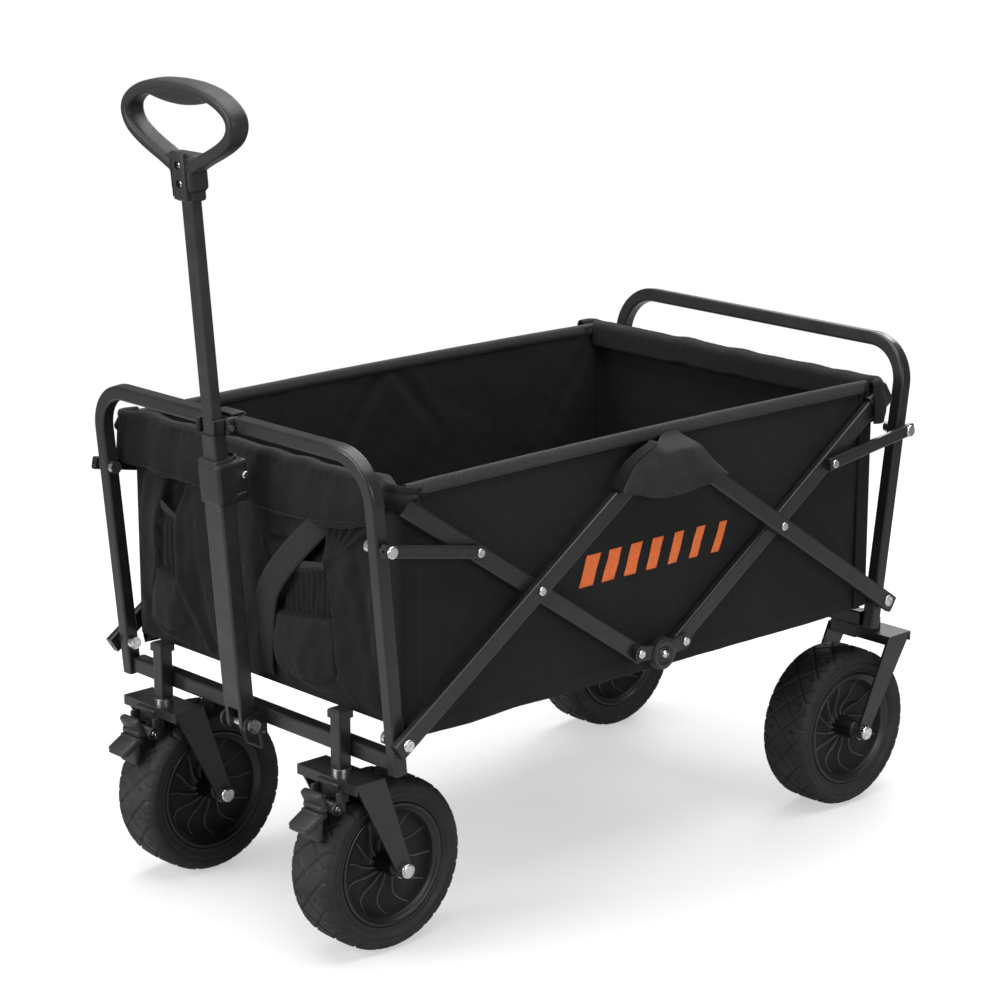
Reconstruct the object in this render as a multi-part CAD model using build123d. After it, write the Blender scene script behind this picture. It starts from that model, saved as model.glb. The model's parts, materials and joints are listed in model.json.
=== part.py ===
from build123d import *
from math import cos, radians, sin, tan
import os

# Folding camp wagon, open and ready to load. Millimetres, +Z up, +X forward (the pull-handle
# end), +Y to the wagon's left. The origin is on the ground midway between the two end frames.

# Wheels, casters and forks
WHEEL_R = 95.0
TYRE_HALF = 32.5
BEAD_R = 66.0
HUB_R = 18.0
HUB_HALF = 38.0
AXLE_R = 6.0
FIT = 0.05
CASTER_X = 381.0
CASTER_Y = 153.0
TRAIL = 45.7
REAR_AXLE_X = -346.3
REAR_Y = 194.4
PLATE_TOP = 203.5
PLATE_T = 3.0
FORK_HALF = 47.5
LEG_T = 3.0
FRONT_PLATE_X = (362.0, 401.0)
REAR_PLATE_X = (-427.0, -388.0)
RIBS = 14

# End hoops: square tube, leaning away from the load at the top
POST_Y = 228.0
POST_W = 16.0
HOOP_FOOT_Z = 217.0
HOOP_TOP_Z = 551.4
FRONT_FOOT_X = 368.5
FRONT_TOP_X = 399.7
REAR_FOOT_X = -368.6
REAR_TOP_X = -417.3
HOOP_BEND = 48.0
CROSSBAR_Z = (218.5, 236.5)
FRONT_CROSSBAR_X = (356.0, 373.0)
REAR_CROSSBAR_X = (-374.5, -357.5)
STEM_W = 16.0
STEM_Z = (208.0, 262.0)
STEM_CAP_TOP = 272.0

# Double scissor: two crossed pairs each side, joined at the middle by a lower and an upper hub
PIVOT_X = 372.6
PIVOT_Z = 254.0
OPEN_ANGLE = 34.0
TO_CROSS = 223.5
CROSS_TO_HUB = 184.2
CROSS_TO_LINK = 102.8
CROSS_TO_TIP = 216.0
PAST_PIVOT = 13.0
BAR_H = 20.0
BAR_T = 10.0
BAR_WALL = 1.4
LINK_H = 14.0
RIVET_R = 3.0
OUTER_Y = (240.0, 250.0)
INNER_Y = (229.5, 239.5)
LINK_Y = (241.0, 249.0)
LOWER_HUB_Z = 269.2
FRONT_LINK_POST = (391.146, 459.716)
REAR_LINK_POST = (-403.028, 453.404)
CROSS_TUBE_R = 7.5

# Telescopic pull handle
HANDLE_X = 392.5
HANDLE_Z = 221.0
HANDLE_LEAN = 4.7
OUTER_TUBE = (30.0, 20.0)
MIDDLE_TUBE = (22.0, 17.0)
INNER_TUBE = (18.0, 13.6)
OUTER_TUBE_END = (19.0, 291.0)
MIDDLE_TUBE_END = (50.0, 321.0)
INNER_TUBE_END = (262.0, 578.0)
COLLAR_END = (246.0, 291.0)
BUTTON_AT = (275.0, -20.0)
SCREWS_UP = (17.0, 36.0)
CLIP_SCREW = (412.5, 549.5)
GRIP_END = (569.0, 691.0)
GRIP_WIDE = 186.0

# Cloth tub
TUB_Y = (222.0, 225.0)
FRONT_WALL_X = (358.0, 361.0)
REAR_WALL_X = (-364.0, -361.0)
TUB_HEM_Z = 247.0
TUB_RIM_Z = 515.0
FLOOR_Z = (278.0, 281.0)

SIDES = (1, -1)
os.makedirs("parts", exist_ok=True)


def save(shape, name):
    """Write one node, whether it is one solid or a group of like solids."""
    if isinstance(shape, (list, tuple)):
        shape = Compound([solid for item in shape for solid in item.solids()])
    export_step(shape, f"parts/{name}.step")


def span(x, y, z):
    """Axis-aligned block between pairs of limits."""
    size = (x[1] - x[0], y[1] - y[0], z[1] - z[0])
    return Pos(sum(x) / 2, sum(y) / 2, sum(z) / 2) * Box(*size)


def rod(start, end, radius):
    """Round bar between two points."""
    a = Vector(*start)
    b = Vector(*end)
    return extrude(Plane(origin=a, z_dir=b - a) * Circle(radius), (b - a).length)


def pin(at, y0, y1, radius):
    """Round bar along Y through an (x, z) point."""
    return rod((at[0], y0, at[1]), (at[0], y1, at[1]), radius)


def rect_tube(start, end, wide, deep, wall, corner, across=(0, 1, 0)):
    """Open rectangular tube; wide lies along the across direction."""
    a = Vector(*start)
    b = Vector(*end)
    skin = RectangleRounded(wide, deep, corner)
    bore = RectangleRounded(wide - 2 * wall, deep - 2 * wall, corner - wall + 0.4)
    place = Plane(origin=a, x_dir=across, z_dir=b - a)
    return extrude(place * (skin - bore), (b - a).length)


def rounded_bar(start, end, wide, deep, corner, across=(0, 1, 0)):
    """Solid rectangular bar with rounded long edges."""
    a = Vector(*start)
    b = Vector(*end)
    place = Plane(origin=a, x_dir=across, z_dir=b - a)
    return extrude(place * RectangleRounded(wide, deep, corner), (b - a).length)


def mirrored(shape):
    """The same piece on the wagon's other side."""
    return mirror(shape, Plane.XZ)


# ---------------------------------------------------------------- scissor geometry


def along(sx, reach, rise, distance):
    """Point at a distance from the lower end pivot along a bar of the open scissor."""
    c = cos(radians(OPEN_ANGLE))
    s = sin(radians(OPEN_ANGLE))
    return (sx * (reach - distance * c), PIVOT_Z + rise + distance * s)


def end_pivot(sx):
    return (sx * PIVOT_X, PIVOT_Z)


def crossing(sx):
    return along(sx, PIVOT_X, 0, TO_CROSS)


def upper_pivot(sx):
    return along(sx, PIVOT_X, 0, TO_CROSS + CROSS_TO_HUB)


def on_inner_bar(sx, distance):
    """Point on the inner bar, measured up and outward from the crossing."""
    x, z = crossing(sx)
    c = cos(radians(OPEN_ANGLE))
    s = sin(radians(OPEN_ANGLE))
    return (x + sx * distance * c, z + distance * s)


def lower_pivot(sx):
    return on_inner_bar(sx, -CROSS_TO_HUB)


def link_pivot(sx):
    return on_inner_bar(sx, CROSS_TO_LINK)


def link_post(sx):
    return FRONT_LINK_POST if sx > 0 else REAR_LINK_POST


def flat_bar(start, end, layer, high, before, after, holes):
    """Rectangular tube in one layer, its end walls pierced by a small drain hole."""
    y = sum(layer) / 2
    a = Vector(start[0], y, start[1])
    b = Vector(end[0], y, end[1])
    way = (b - a).normalized()
    a = a - way * before
    b = b + way * after
    thick = layer[1] - layer[0]
    bar = rounded_bar(a, b, thick, high, 2.5)
    inside = (thick - 2 * BAR_WALL, high - 2 * BAR_WALL)
    bar -= rounded_bar(a + way * 2.5, b - way * 2.5, inside[0], inside[1], 1.2)
    bar -= rod(a - way, b + way, 1.5)
    for hole in holes:
        bar -= pin(hole, layer[0] - 1, layer[1] + 1, RIVET_R + FIT)
    return bar


def rivet(at, y0, y1, head=5.0, head_t=2.4, base=True):
    """Domed rivet: outer head beyond y1, and a flat base on the inner side."""
    body = pin(at, y0, y1 + 0.5, RIVET_R)
    cap = pin(at, y1 + 0.05, y1 + 0.05 + head_t, head)
    body += fillet(cap.edges().filter_by(GeomType.CIRCLE).sort_by(Axis.Y)[-1], 1.6)
    if base:
        body += pin(at, y0 - 1.5, y0 - 0.05, head - 1) + pin(at, y0 - 1, y0 + 1, RIVET_R)
    return body


# ---------------------------------------------------------------- end frames


def hoop(foot_x, top_x, sx):
    """Inverted-U hoop of square tube with its bosses for the scissor and the link."""
    foot = Vector(foot_x, 0, HOOP_FOOT_Z)
    rise = Vector(top_x, 0, HOOP_TOP_Z) - foot
    plane = Plane(origin=foot, x_dir=(0, 1, 0), z_dir=Vector(0, 1, 0).cross(rise))
    corners = [(-POST_Y, 0), (-POST_Y, rise.length), (POST_Y, rise.length), (POST_Y, 0)]
    path = plane * FilletPolyline(*corners, radius=HOOP_BEND)
    start = Plane(origin=path @ 0, x_dir=(0, 1, 0), z_dir=path % 0)
    frame = sweep(start * RectangleRounded(POST_W, POST_W, 3), path)
    frame -= sweep(start * RectangleRounded(POST_W - 3, POST_W - 3, 1.8), path)
    post_face = POST_Y + POST_W / 2
    for s in SIDES:
        for at, stand in ((end_pivot(sx), OUTER_Y[0]), (link_post(sx), LINK_Y[0])):
            frame += pin(at, s * (post_face - 0.5), s * (stand - 0.1), 6)
            frame -= pin(at, s * 210, s * 245, RIVET_R + FIT)
    return frame


def crossbar(x_limits):
    """Lower cross tube between the posts."""
    x = sum(x_limits) / 2
    z = sum(CROSSBAR_Z) / 2
    inner = POST_Y - POST_W / 2
    deep = x_limits[1] - x_limits[0]
    high = CROSSBAR_Z[1] - CROSSBAR_Z[0]
    ends = ((x, -inner, z), (x, inner, z))
    return rect_tube(*ends, deep, high, 1.5, 2.5, across=(1, 0, 0))


def frame_bolts(sx):
    """Bolts with inside nuts that carry the scissor bars and links on the posts."""
    bolts = []
    inner = POST_Y - POST_W / 2
    for s in SIDES:
        for at, face in ((end_pivot(sx), OUTER_Y[1]), (link_post(sx), LINK_Y[1])):
            bolt = pin(at, inner - 4, face + 0.5, RIVET_R)
            head = pin(at, face + 0.1, face + 3, 6.8)
            bolt += fillet(head.edges().filter_by(GeomType.CIRCLE).sort_by(Axis.Y)[-1], 1.8)
            bolt += pin(at, inner - 6, inner - 0.05, 7)
            bolts.append(bolt if s > 0 else mirrored(bolt))
    return bolts


def caster_stems():
    stems = []
    for s in SIDES:
        stem = Pos(CASTER_X, s * CASTER_Y, sum(STEM_Z) / 2) * Box(
            STEM_W, STEM_W, STEM_Z[1] - STEM_Z[0]
        )
        stem = fillet(stem.edges().filter_by(Axis.Z), 2)
        low = (CASTER_X, s * CASTER_Y, STEM_Z[0] - 1)
        stems.append(stem - rod(low, (CASTER_X, s * CASTER_Y, 250), AXLE_R + FIT))
    return stems


def stem_caps():
    caps = []
    for s in SIDES:
        cap = Pos(CASTER_X, s * CASTER_Y, (STEM_Z[1] + STEM_CAP_TOP) / 2) * Box(
            19, 19, STEM_CAP_TOP - STEM_Z[1]
        )
        caps.append(chamfer(cap.faces().sort_by(Axis.Z)[-1].edges(), 2))
    return caps


# ---------------------------------------------------------------- wheels and forks


def about_y(points):
    """Ring from (radius, offset) points, turned about the Y axis through the origin."""
    return revolve(make_face(Polyline(*points, close=True)), Axis.Y)


def tyre():
    half = [(66, 24), (72, 30), (79, 32.2), (85, 32.5), (90, 30), (93.6, 25), (95, 18)]
    ring = [(r, y) for r, y in half] + [(r, -y) for r, y in reversed(half)]
    return about_y(ring)


def rim():
    """Deep-dished rim: stepped barrel, central web, hub and curved ribs on both faces."""
    barrel = about_y([(57, -26), (65.9, -26), (65.9, 26), (57, 26), (55, 6), (55, -6)])
    web = about_y([(10, -3), (56, -3), (56, 3), (10, 3)])
    hub = about_y([(AXLE_R + FIT, -HUB_HALF), (HUB_R, -HUB_HALF + 4), (HUB_R + 3, 0),
                   (HUB_R, HUB_HALF - 4), (AXLE_R + FIT, HUB_HALF)])
    bore = about_y([(0, -40), (AXLE_R + FIT, -40), (AXLE_R + FIT, 40), (0, 40)])
    body = barrel + web + hub - bore
    arc = ThreePointArc((17, 0), (38, 7), (57.5, -3))
    fin = extrude(Plane.XZ * SlotArc(arc, 2.4), 21, both=True)
    for n in range(RIBS):
        body += Rot(0, n * 360 / RIBS, 0) * fin
    return body - bore


def fork_leg(x_top, axle, y0, y1):
    """Tapered plate leg between two Y planes, round at the axle."""
    outline = Polyline((x_top[0], PLATE_TOP), (x_top[1], PLATE_TOP))
    eye = Pos(axle[0], axle[1]) * Circle(9.5)
    face = make_hull(outline.edges() + eye.edges())
    leg = extrude(Plane.XZ * face, -(y1 - y0))
    return Pos(0, y0, 0) * leg - pin(axle, y0 - 1, y1 + 1, AXLE_R + FIT)


def fork(x_top, axle, y_mid):
    """Folded steel fork: top plate, front and rear lips, and two tapered legs."""
    low = PLATE_TOP - PLATE_T
    wide = (y_mid - FORK_HALF, y_mid + FORK_HALF)
    body = span(x_top, wide, (low, PLATE_TOP))
    body += fork_leg(x_top, axle, wide[0], wide[0] + LEG_T)
    body += fork_leg(x_top, axle, wide[1] - LEG_T, wide[1])
    for x in ((x_top[0], x_top[0] + 2.5), (x_top[1] - 2.5, x_top[1])):
        body += span(x, wide, (PLATE_TOP - 11, PLATE_TOP))
    return body


def axle_bolt(axle, y_mid):
    """Axle with domed nuts outside the fork and spacers beside the hub."""
    inner = FORK_HALF - LEG_T
    bolt = pin(axle, y_mid - FORK_HALF - 4, y_mid + FORK_HALF + 4, AXLE_R)
    for s in SIDES:
        nut = pin(axle, y_mid + s * (FORK_HALF + 0.05), y_mid + s * (FORK_HALF + 7), 8.5)
        edge = nut.edges().filter_by(GeomType.CIRCLE).sort_by(Axis.Y)[-1 if s > 0 else 0]
        bolt += fillet(edge, 3)
    spacers = []
    for s in SIDES:
        ring = pin(axle, y_mid + s * (HUB_HALF + 0.1), y_mid + s * (inner - 0.05), 10)
        spacers.append(ring - pin(axle, y_mid - 60, y_mid + 60, AXLE_R + FIT))
    return [bolt] + spacers


def kingpin():
    """Swivel pin of the left caster: thrust washer above the plate, head below."""
    at = (CASTER_X, CASTER_Y)
    low = PLATE_TOP - PLATE_T
    body = rod((*at, low - 4), (*at, 248), AXLE_R)
    body += rod((*at, low - 5), (*at, low - 0.05), 10)
    return body + rod((*at, PLATE_TOP + 0.05), (*at, STEM_Z[0] - 0.05), 11)


def caster_fork():
    axle = (CASTER_X - TRAIL, WHEEL_R)
    hole = rod((CASTER_X, CASTER_Y, 190), (CASTER_X, CASTER_Y, 206), AXLE_R + FIT)
    return fork(FRONT_PLATE_X, axle, CASTER_Y) - hole


BRAKE = (408.0, 175.0)


def brake_base():
    """Moulded bracket under the front of the caster plate, with two eyes for the pedal."""
    y = CASTER_Y + 5
    block = span((392.5, 398.4), (y - 22, y + 22), (180, 200.4))
    for s in SIDES:
        eye = span((397, 408), sorted((y + s * 18, y + s * 22)), (170, 192))
        block += eye + pin(BRAKE, y + s * 18, y + s * 22, 6)
    block -= pin(BRAKE, y - 40, y + 40, 3 + FIT)
    return block


def brake_pedal():
    """Two-part foot pedal with its shoe just clear of the tread, on a steel pin."""
    y = CASTER_Y + 5
    wide = (y - 15, y + 15)
    barrel = pin(BRAKE, y - 17.9, y + 17.9, 6) + pin(BRAKE, y - 23, y + 23, 3)
    upper = span((408, 425), wide, (171, 180))
    toe = Pos(421, y, 184) * Rot(0, 28, 0) * Box(7, 30, 17)
    lower = Pos(434, y, 162) * Rot(0, 32, 0) * Box(27, 30, 8)
    shoe = span((421, 429), wide, (141, 174))
    return barrel + upper + toe + lower + shoe


def rear_forks():
    forks = []
    for s in SIDES:
        axle = (REAR_AXLE_X, WHEEL_R)
        body = fork(REAR_PLATE_X, axle, REAR_Y)
        body += span((-405, -359), (REAR_Y - 19, REAR_Y + 19), (PLATE_TOP - 0.5, 218.5))
        forks.append(body if s > 0 else mirrored(body))
    return forks


# ---------------------------------------------------------------- scissor pieces


def outer_bars(sx):
    bar = flat_bar(end_pivot(sx), upper_pivot(sx), OUTER_Y, BAR_H, PAST_PIVOT, 10,
                   (end_pivot(sx), crossing(sx), upper_pivot(sx)))
    return [bar, mirrored(bar)]


def inner_bars(sx):
    bar = flat_bar(lower_pivot(sx), on_inner_bar(sx, CROSS_TO_TIP), INNER_Y, BAR_H, 10, 0,
                   (lower_pivot(sx), crossing(sx), link_pivot(sx)))
    return [bar, mirrored(bar)]


def both_sides(make):
    return [make, mirrored(make)]


def corner_hooks(sx):
    """Plastic end pieces on the inner bars that hold the tub's rim corners."""
    y = sum(INNER_Y) / 2
    tip = on_inner_bar(sx, CROSS_TO_TIP)
    near = on_inner_bar(sx, CROSS_TO_TIP - 26)
    far = on_inner_bar(sx, CROSS_TO_TIP + 4)
    sleeve = rounded_bar((near[0], y, near[1]), (far[0], y, far[1]), BAR_T + 3, BAR_H + 3, 3)
    sleeve -= rounded_bar((near[0], y, near[1]), (tip[0], y, tip[1]), BAR_T, BAR_H, 2.5)
    lug = span(sorted((sx * 350, sx * 362)), (225.1, 229), (498, 512))
    return both_sides(sleeve + lug)


def lower_hubs():
    """Centre plates at the foot of the scissor: a disc with an ear to each side."""
    disc = pin((0, LOWER_HUB_Z), OUTER_Y[0], OUTER_Y[0] + 7, 18)
    plate = disc
    for sx in SIDES:
        ear = lower_pivot(sx)
        arm = rounded_bar((0, 243, LOWER_HUB_Z + 2), (ear[0], 243, ear[1]), 6, 16, 1)
        plate += arm + pin(ear, OUTER_Y[0], OUTER_Y[0] + 6, 9)
    for sx in SIDES:
        plate -= pin(lower_pivot(sx), 230, 260, RIVET_R + FIT)
    plate -= pin((0, LOWER_HUB_Z), 230, 243.05, CROSS_TUBE_R + FIT)
    return both_sides(plate)


def lower_cross_tube():
    at = (0, LOWER_HUB_Z)
    return pin(at, -243, 243, CROSS_TUBE_R) - pin(at, -244, 244, CROSS_TUBE_R - 1.4)


def upper_hubs():
    """Centre plates at the top of the scissor, behind the cloth tabs."""
    ends = [upper_pivot(sx) for sx in SIDES]
    start = (ends[1][0], 234.5, ends[1][1])
    stop = (ends[0][0], 234.5, ends[0][1])
    plate = rounded_bar(start, stop, BAR_T - 1, 18, 1)
    for at in ends:
        plate += pin(at, 230, 239, 9)
    for at in ends:
        plate -= pin(at, 220, 250, RIVET_R + FIT)
    return both_sides(plate)


def mid_tabs():
    """Cloth tabs that cover the top of the scissor at mid side."""
    outline = Polyline((-62, 492), (-50, 500), (0, 521), (50, 500), (62, 492), (50, 470),
                       (0, 458), (-50, 470), close=True)
    tab = extrude(Plane.XZ * make_face(outline), -2)
    return both_sides(Pos(0, 253.5, 0) * tab)


def links(sx):
    bar = flat_bar(link_post(sx), link_pivot(sx), LINK_Y, LINK_H, 8, 8, ())
    for at in (link_post(sx), link_pivot(sx)):
        bar -= pin(at, 235, 255, RIVET_R + FIT)
    return both_sides(bar)


# ---------------------------------------------------------------- pull handle


def handle_plane(distance, x_shift=0.0):
    """Plane across the handle at a distance up from its hinge; its x lies along Y."""
    lean = radians(HANDLE_LEAN)
    way = Vector(sin(lean), 0, cos(lean))
    side = Vector(cos(lean), 0, -sin(lean))
    at = Vector(HANDLE_X, 0, HANDLE_Z) + way * distance + side * x_shift
    return Plane(origin=at, x_dir=(0, 1, 0), z_dir=way)


def handle_tube(size, wall, ends, corner):
    skin = RectangleRounded(size[0], size[1], corner)
    bore = RectangleRounded(size[0] - 2 * wall, size[1] - 2 * wall, corner - 0.8)
    return extrude(handle_plane(ends[0]) * (skin - bore), ends[1] - ends[0])


def handle_outer():
    """Lower tube with the clevis lugs welded at its foot."""
    tube = handle_tube(OUTER_TUBE, 1.2, OUTER_TUBE_END, 3)
    body = tube
    hinge = (HANDLE_X, HANDLE_Z)
    for s in SIDES:
        lug = extrude(handle_plane(0) * (Pos(s * 11, 0) * Rectangle(5, 17)), 22)
        body += lug + pin(hinge, s * 8.5, s * 13.5, 8.5)
    return body - pin(hinge, -30, 30, 5 + FIT)


def handle_collar():
    """Moulded collar over the tube's mouth, deeper at the back for the lock."""
    length = COLLAR_END[1] - COLLAR_END[0]
    skin = extrude(handle_plane(COLLAR_END[0], -7.5) * RectangleRounded(35, 39, 6), length)
    skin -= extrude(handle_plane(COLLAR_END[0] - 1) * RectangleRounded(30.1, 20.1, 3), length + 2)
    ring = RectangleRounded(33, 24, 4) - RectangleRounded(22.4, 17.4, 2)
    skin += extrude(handle_plane(COLLAR_END[1] + 0.1) * ring, 4)
    skin += extrude(handle_plane(COLLAR_END[1] - 1) * (
        RectangleRounded(34, 26, 4) - RectangleRounded(30.1, 20.1, 3)), 1.2)
    hole = handle_plane(*BUTTON_AT)
    return skin - rod(hole.origin, hole.origin + Vector(0, 30, 0), 4.2)


def push_button():
    """Spring button in the collar's left side."""
    at = handle_plane(*BUTTON_AT).origin
    body = rod(at + Vector(0, 14.6, 0), at + Vector(0, 23, 0), 4.1)
    return fillet(body.edges().filter_by(GeomType.CIRCLE).sort_by(Axis.Y)[-1], 1.5)


def handle_grip():
    """Closed loop grip: a short neck opening into a rounded triangle."""
    low = GRIP_END[0]
    high = GRIP_END[1] - low
    lean = radians(HANDLE_LEAN)
    up = Vector(sin(lean), 0, cos(lean))
    place = Plane(origin=handle_plane(low).origin, x_dir=(0, 1, 0),
                  z_dir=Vector(0, 1, 0).cross(up))
    half = GRIP_WIDE / 2
    top = high - 14
    outer = Polyline((-17, 9), (-half, top - 34), (-half, top - 14), (-half + 28, high - 5),
                     (-half + 62, high), (half - 62, high), (half - 28, high - 5),
                     (half, top - 14), (half, top - 34), (17, 9), close=True)
    inner = Polyline((-12, 48), (-half + 15, top - 32), (-half + 15, top - 18),
                     (-half + 34, top - 7), (-24, top - 10), (24, top - 10),
                     (half - 34, top - 7), (half - 15, top - 18), (half - 15, top - 32),
                     (12, 48), close=True)
    body = extrude(place * (make_face(outer) - make_face(inner)), 12, both=True)
    body += extrude(handle_plane(low) * Rectangle(33, 24), 24)
    body += extrude(handle_plane(low - 8) * Rectangle(27, 19.5), 10)
    socket = extrude(handle_plane(low - 9) * RectangleRounded(18.1, 13.7, 2), 18.05)
    return body - socket


def grip_screws():
    screws = []
    for d in SCREWS_UP:
        at = handle_plane(GRIP_END[0] + d, 12.1).origin
        screws.append(rod(at, handle_plane(GRIP_END[0] + d, 13.3).origin, 3))
    return screws


def handle_bracket():
    """U bracket on the front cross tube, with a bent tail below."""
    x0 = FRONT_CROSSBAR_X[1]
    body = span((x0, x0 + 2.5), (-21, 21), (208, 236))
    for s in SIDES:
        side = span((x0, HANDLE_X), sorted((s * 18, s * 21)), (212, 232))
        body += side + pin((HANDLE_X, HANDLE_Z), s * 18, s * 21, 11)
    tail = [rod((x0 + 8, s * 18, 209), (x0 + 1, s * 12, 190), 1.5) for s in SIDES]
    tail += [rod((x0 + 8, s * 18, 208), (x0 + 8, s * 18, 216), 1.5) for s in SIDES]
    tail.append(rod((x0 + 1, -12, 190), (x0 + 1, 12, 190), 1.5))
    for strip in tail:
        body += strip
    return body - pin((HANDLE_X, HANDLE_Z), -40, 40, 5 + FIT)


def handle_fasteners():
    """Hinge bolt with its nut, and the screw that holds the clip."""
    hinge = (HANDLE_X, HANDLE_Z)
    bolt = pin(hinge, -25, 25, 5) + pin(hinge, 21.05, 25, 8) + pin(hinge, -25, -21.05, 8)
    screw = pin(CLIP_SCREW, 21.05, 23.6, 3.3)
    return [bolt, screw]


def handle_clip():
    """Open C clip on the front hoop's top bar; the handle drops in from the front."""
    lean = Rot(0, 5.33, 0)
    block = span((389.5, 409.6), (-21, 21), (542, 562))
    slot = Pos(FRONT_TOP_X, 0, HOOP_TOP_Z) * lean * Box(16.3, 60, 16.3)
    block -= slot
    block -= span((380, 396), (-40, 40), (530, 548))
    for s in SIDES:
        block += span((409, 433), sorted((s * 12.3, s * 16)), (542, 562))
        block += span((408.2, 417), sorted((s * 15.5, s * 21)), (542, 562))
    return block


# ---------------------------------------------------------------- cloth tub


def side_panels():
    """Side walls, with a notch at the hem that clears the lower cross tube."""
    x = (REAR_WALL_X[1], FRONT_WALL_X[0])
    panel = span(x, TUB_Y, (TUB_HEM_Z, TUB_RIM_Z))
    panel -= span((-10, 10), (220, 230), (240, 278))
    return both_sides(panel)


def end_wall(x):
    return span(x, (-TUB_Y[1], TUB_Y[1]), (TUB_HEM_Z, TUB_RIM_Z))


def front_pockets():
    """Two gathered pockets on the front wall, either side of the handle."""
    pockets = []
    for s in SIDES:
        x = FRONT_WALL_X[1]
        bag = span((x, x + 20), sorted((s * 24, s * 200)), (300, 440))
        bag = fillet(bag.faces().sort_by(Axis.X)[-1].edges(), 9)
        pockets.append(bag)
    return pockets


def floor_panel():
    x = (REAR_WALL_X[1], FRONT_WALL_X[0])
    return span(x, (-TUB_Y[0], TUB_Y[0]), FLOOR_Z)


# ---------------------------------------------------------------- write the nodes


def wheel_set(name, x, y):
    place = Pos(x, y, WHEEL_R)
    save(place * TYRE, f"{name}_tyre")
    save(place * RIM, f"{name}_rim")


TYRE = tyre()
RIM = rim()
FRONT_AXLE_X = CASTER_X - TRAIL

save(hoop(FRONT_FOOT_X, FRONT_TOP_X, 1), "front_hoop")
save(crossbar(FRONT_CROSSBAR_X), "front_crossbar")
save(caster_stems(), "caster_stems")
save(stem_caps(), "stem_caps")
save(frame_bolts(1), "front_frame_bolts")
save(handle_bracket(), "handle_bracket")
save(handle_fasteners(), "handle_fasteners")
save(handle_clip(), "handle_clip")

save(hoop(REAR_FOOT_X, REAR_TOP_X, -1), "rear_hoop")
save(crossbar(REAR_CROSSBAR_X), "rear_crossbar")
save(rear_forks(), "rear_forks")
save(frame_bolts(-1), "rear_frame_bolts")
rear_bolt = axle_bolt((REAR_AXLE_X, WHEEL_R), REAR_Y)
save(rear_bolt + [mirrored(item) for item in rear_bolt], "rear_axles")

for end, sx in (("front", 1), ("rear", -1)):
    save(outer_bars(sx), f"{end}_outer_bars")
    save(both_sides(rivet(crossing(sx), INNER_Y[0], OUTER_Y[1])), f"{end}_cross_rivets")
    save(inner_bars(sx), f"{end}_inner_bars")
    save(corner_hooks(sx), f"{end}_corner_hooks")
    save(links(sx), f"{end}_links")
    link_rivet = rivet(link_pivot(sx), LINK_Y[0] - 0.5, LINK_Y[1], base=False)
    save(both_sides(link_rivet), f"{end}_link_rivets")

save(lower_hubs(), "lower_hubs")
save(lower_cross_tube(), "lower_cross_tube")
lower = [rivet(lower_pivot(sx), INNER_Y[0], OUTER_Y[0] + 6) for sx in SIDES]
save(lower + [mirrored(item) for item in lower], "lower_hub_rivets")
save(upper_hubs(), "upper_hubs")
upper = [rivet(upper_pivot(sx), 230, OUTER_Y[1], head_t=1.7) for sx in SIDES]
save(upper + [mirrored(item) for item in upper], "upper_hub_rivets")
save(mid_tabs(), "mid_tabs")

left_set = axle_bolt((FRONT_AXLE_X, WHEEL_R), CASTER_Y) + [kingpin()]
for tag, flip in (("left", False), ("right", True)):
    pieces = {"fork": [caster_fork()], "fasteners": left_set,
              "brake_base": [brake_base()], "brake_pedal": [brake_pedal()]}
    for name, items in pieces.items():
        items = [mirrored(item) for item in items] if flip else items
        save(items, f"caster_{tag}_{name}")

wheel_set("front_left", FRONT_AXLE_X, CASTER_Y)
wheel_set("front_right", FRONT_AXLE_X, -CASTER_Y)
wheel_set("rear_left", REAR_AXLE_X, REAR_Y)
wheel_set("rear_right", REAR_AXLE_X, -REAR_Y)

save(handle_outer(), "handle_outer_tube")
save(handle_collar(), "handle_collar")
save(push_button(), "handle_push_button")
save(handle_tube(MIDDLE_TUBE, 1.2, MIDDLE_TUBE_END, 2.4), "handle_middle_tube")
save(handle_tube(INNER_TUBE, 1.2, INNER_TUBE_END, 2), "handle_inner_tube")
save(handle_grip(), "handle_grip")
save(grip_screws(), "grip_screws")

save(side_panels(), "tub_side_panels")
save(end_wall(FRONT_WALL_X), "tub_front_wall")
save(end_wall(REAR_WALL_X), "tub_rear_wall")
save(front_pockets(), "tub_front_pockets")
save(floor_panel(), "tub_floor")
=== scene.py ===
"""Folding camp wagon: looks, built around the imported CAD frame. Metres, +X forward, +Z up."""
import json
import math

import bmesh
import bpy
import numpy as np
from mathutils import Matrix, Vector


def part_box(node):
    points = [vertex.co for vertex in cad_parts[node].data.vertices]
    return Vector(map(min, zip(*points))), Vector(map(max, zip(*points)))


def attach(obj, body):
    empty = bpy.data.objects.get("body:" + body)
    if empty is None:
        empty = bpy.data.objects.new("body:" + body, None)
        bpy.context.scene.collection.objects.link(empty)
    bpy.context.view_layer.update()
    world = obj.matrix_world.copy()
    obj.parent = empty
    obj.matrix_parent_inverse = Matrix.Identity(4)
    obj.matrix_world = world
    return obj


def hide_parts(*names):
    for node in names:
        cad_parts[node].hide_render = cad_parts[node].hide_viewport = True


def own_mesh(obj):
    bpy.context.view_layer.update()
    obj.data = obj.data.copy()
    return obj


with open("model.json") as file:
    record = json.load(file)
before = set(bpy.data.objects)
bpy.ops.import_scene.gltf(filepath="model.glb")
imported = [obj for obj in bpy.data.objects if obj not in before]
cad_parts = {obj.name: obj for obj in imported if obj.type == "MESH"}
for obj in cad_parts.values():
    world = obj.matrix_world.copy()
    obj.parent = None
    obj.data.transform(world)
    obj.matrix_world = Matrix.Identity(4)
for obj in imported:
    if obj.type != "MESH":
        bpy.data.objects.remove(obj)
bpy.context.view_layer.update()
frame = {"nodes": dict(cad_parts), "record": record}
MM = 0.001
QUARTER_TURN = math.pi / 2

# ------------------------------------------------------------------ materials


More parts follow.
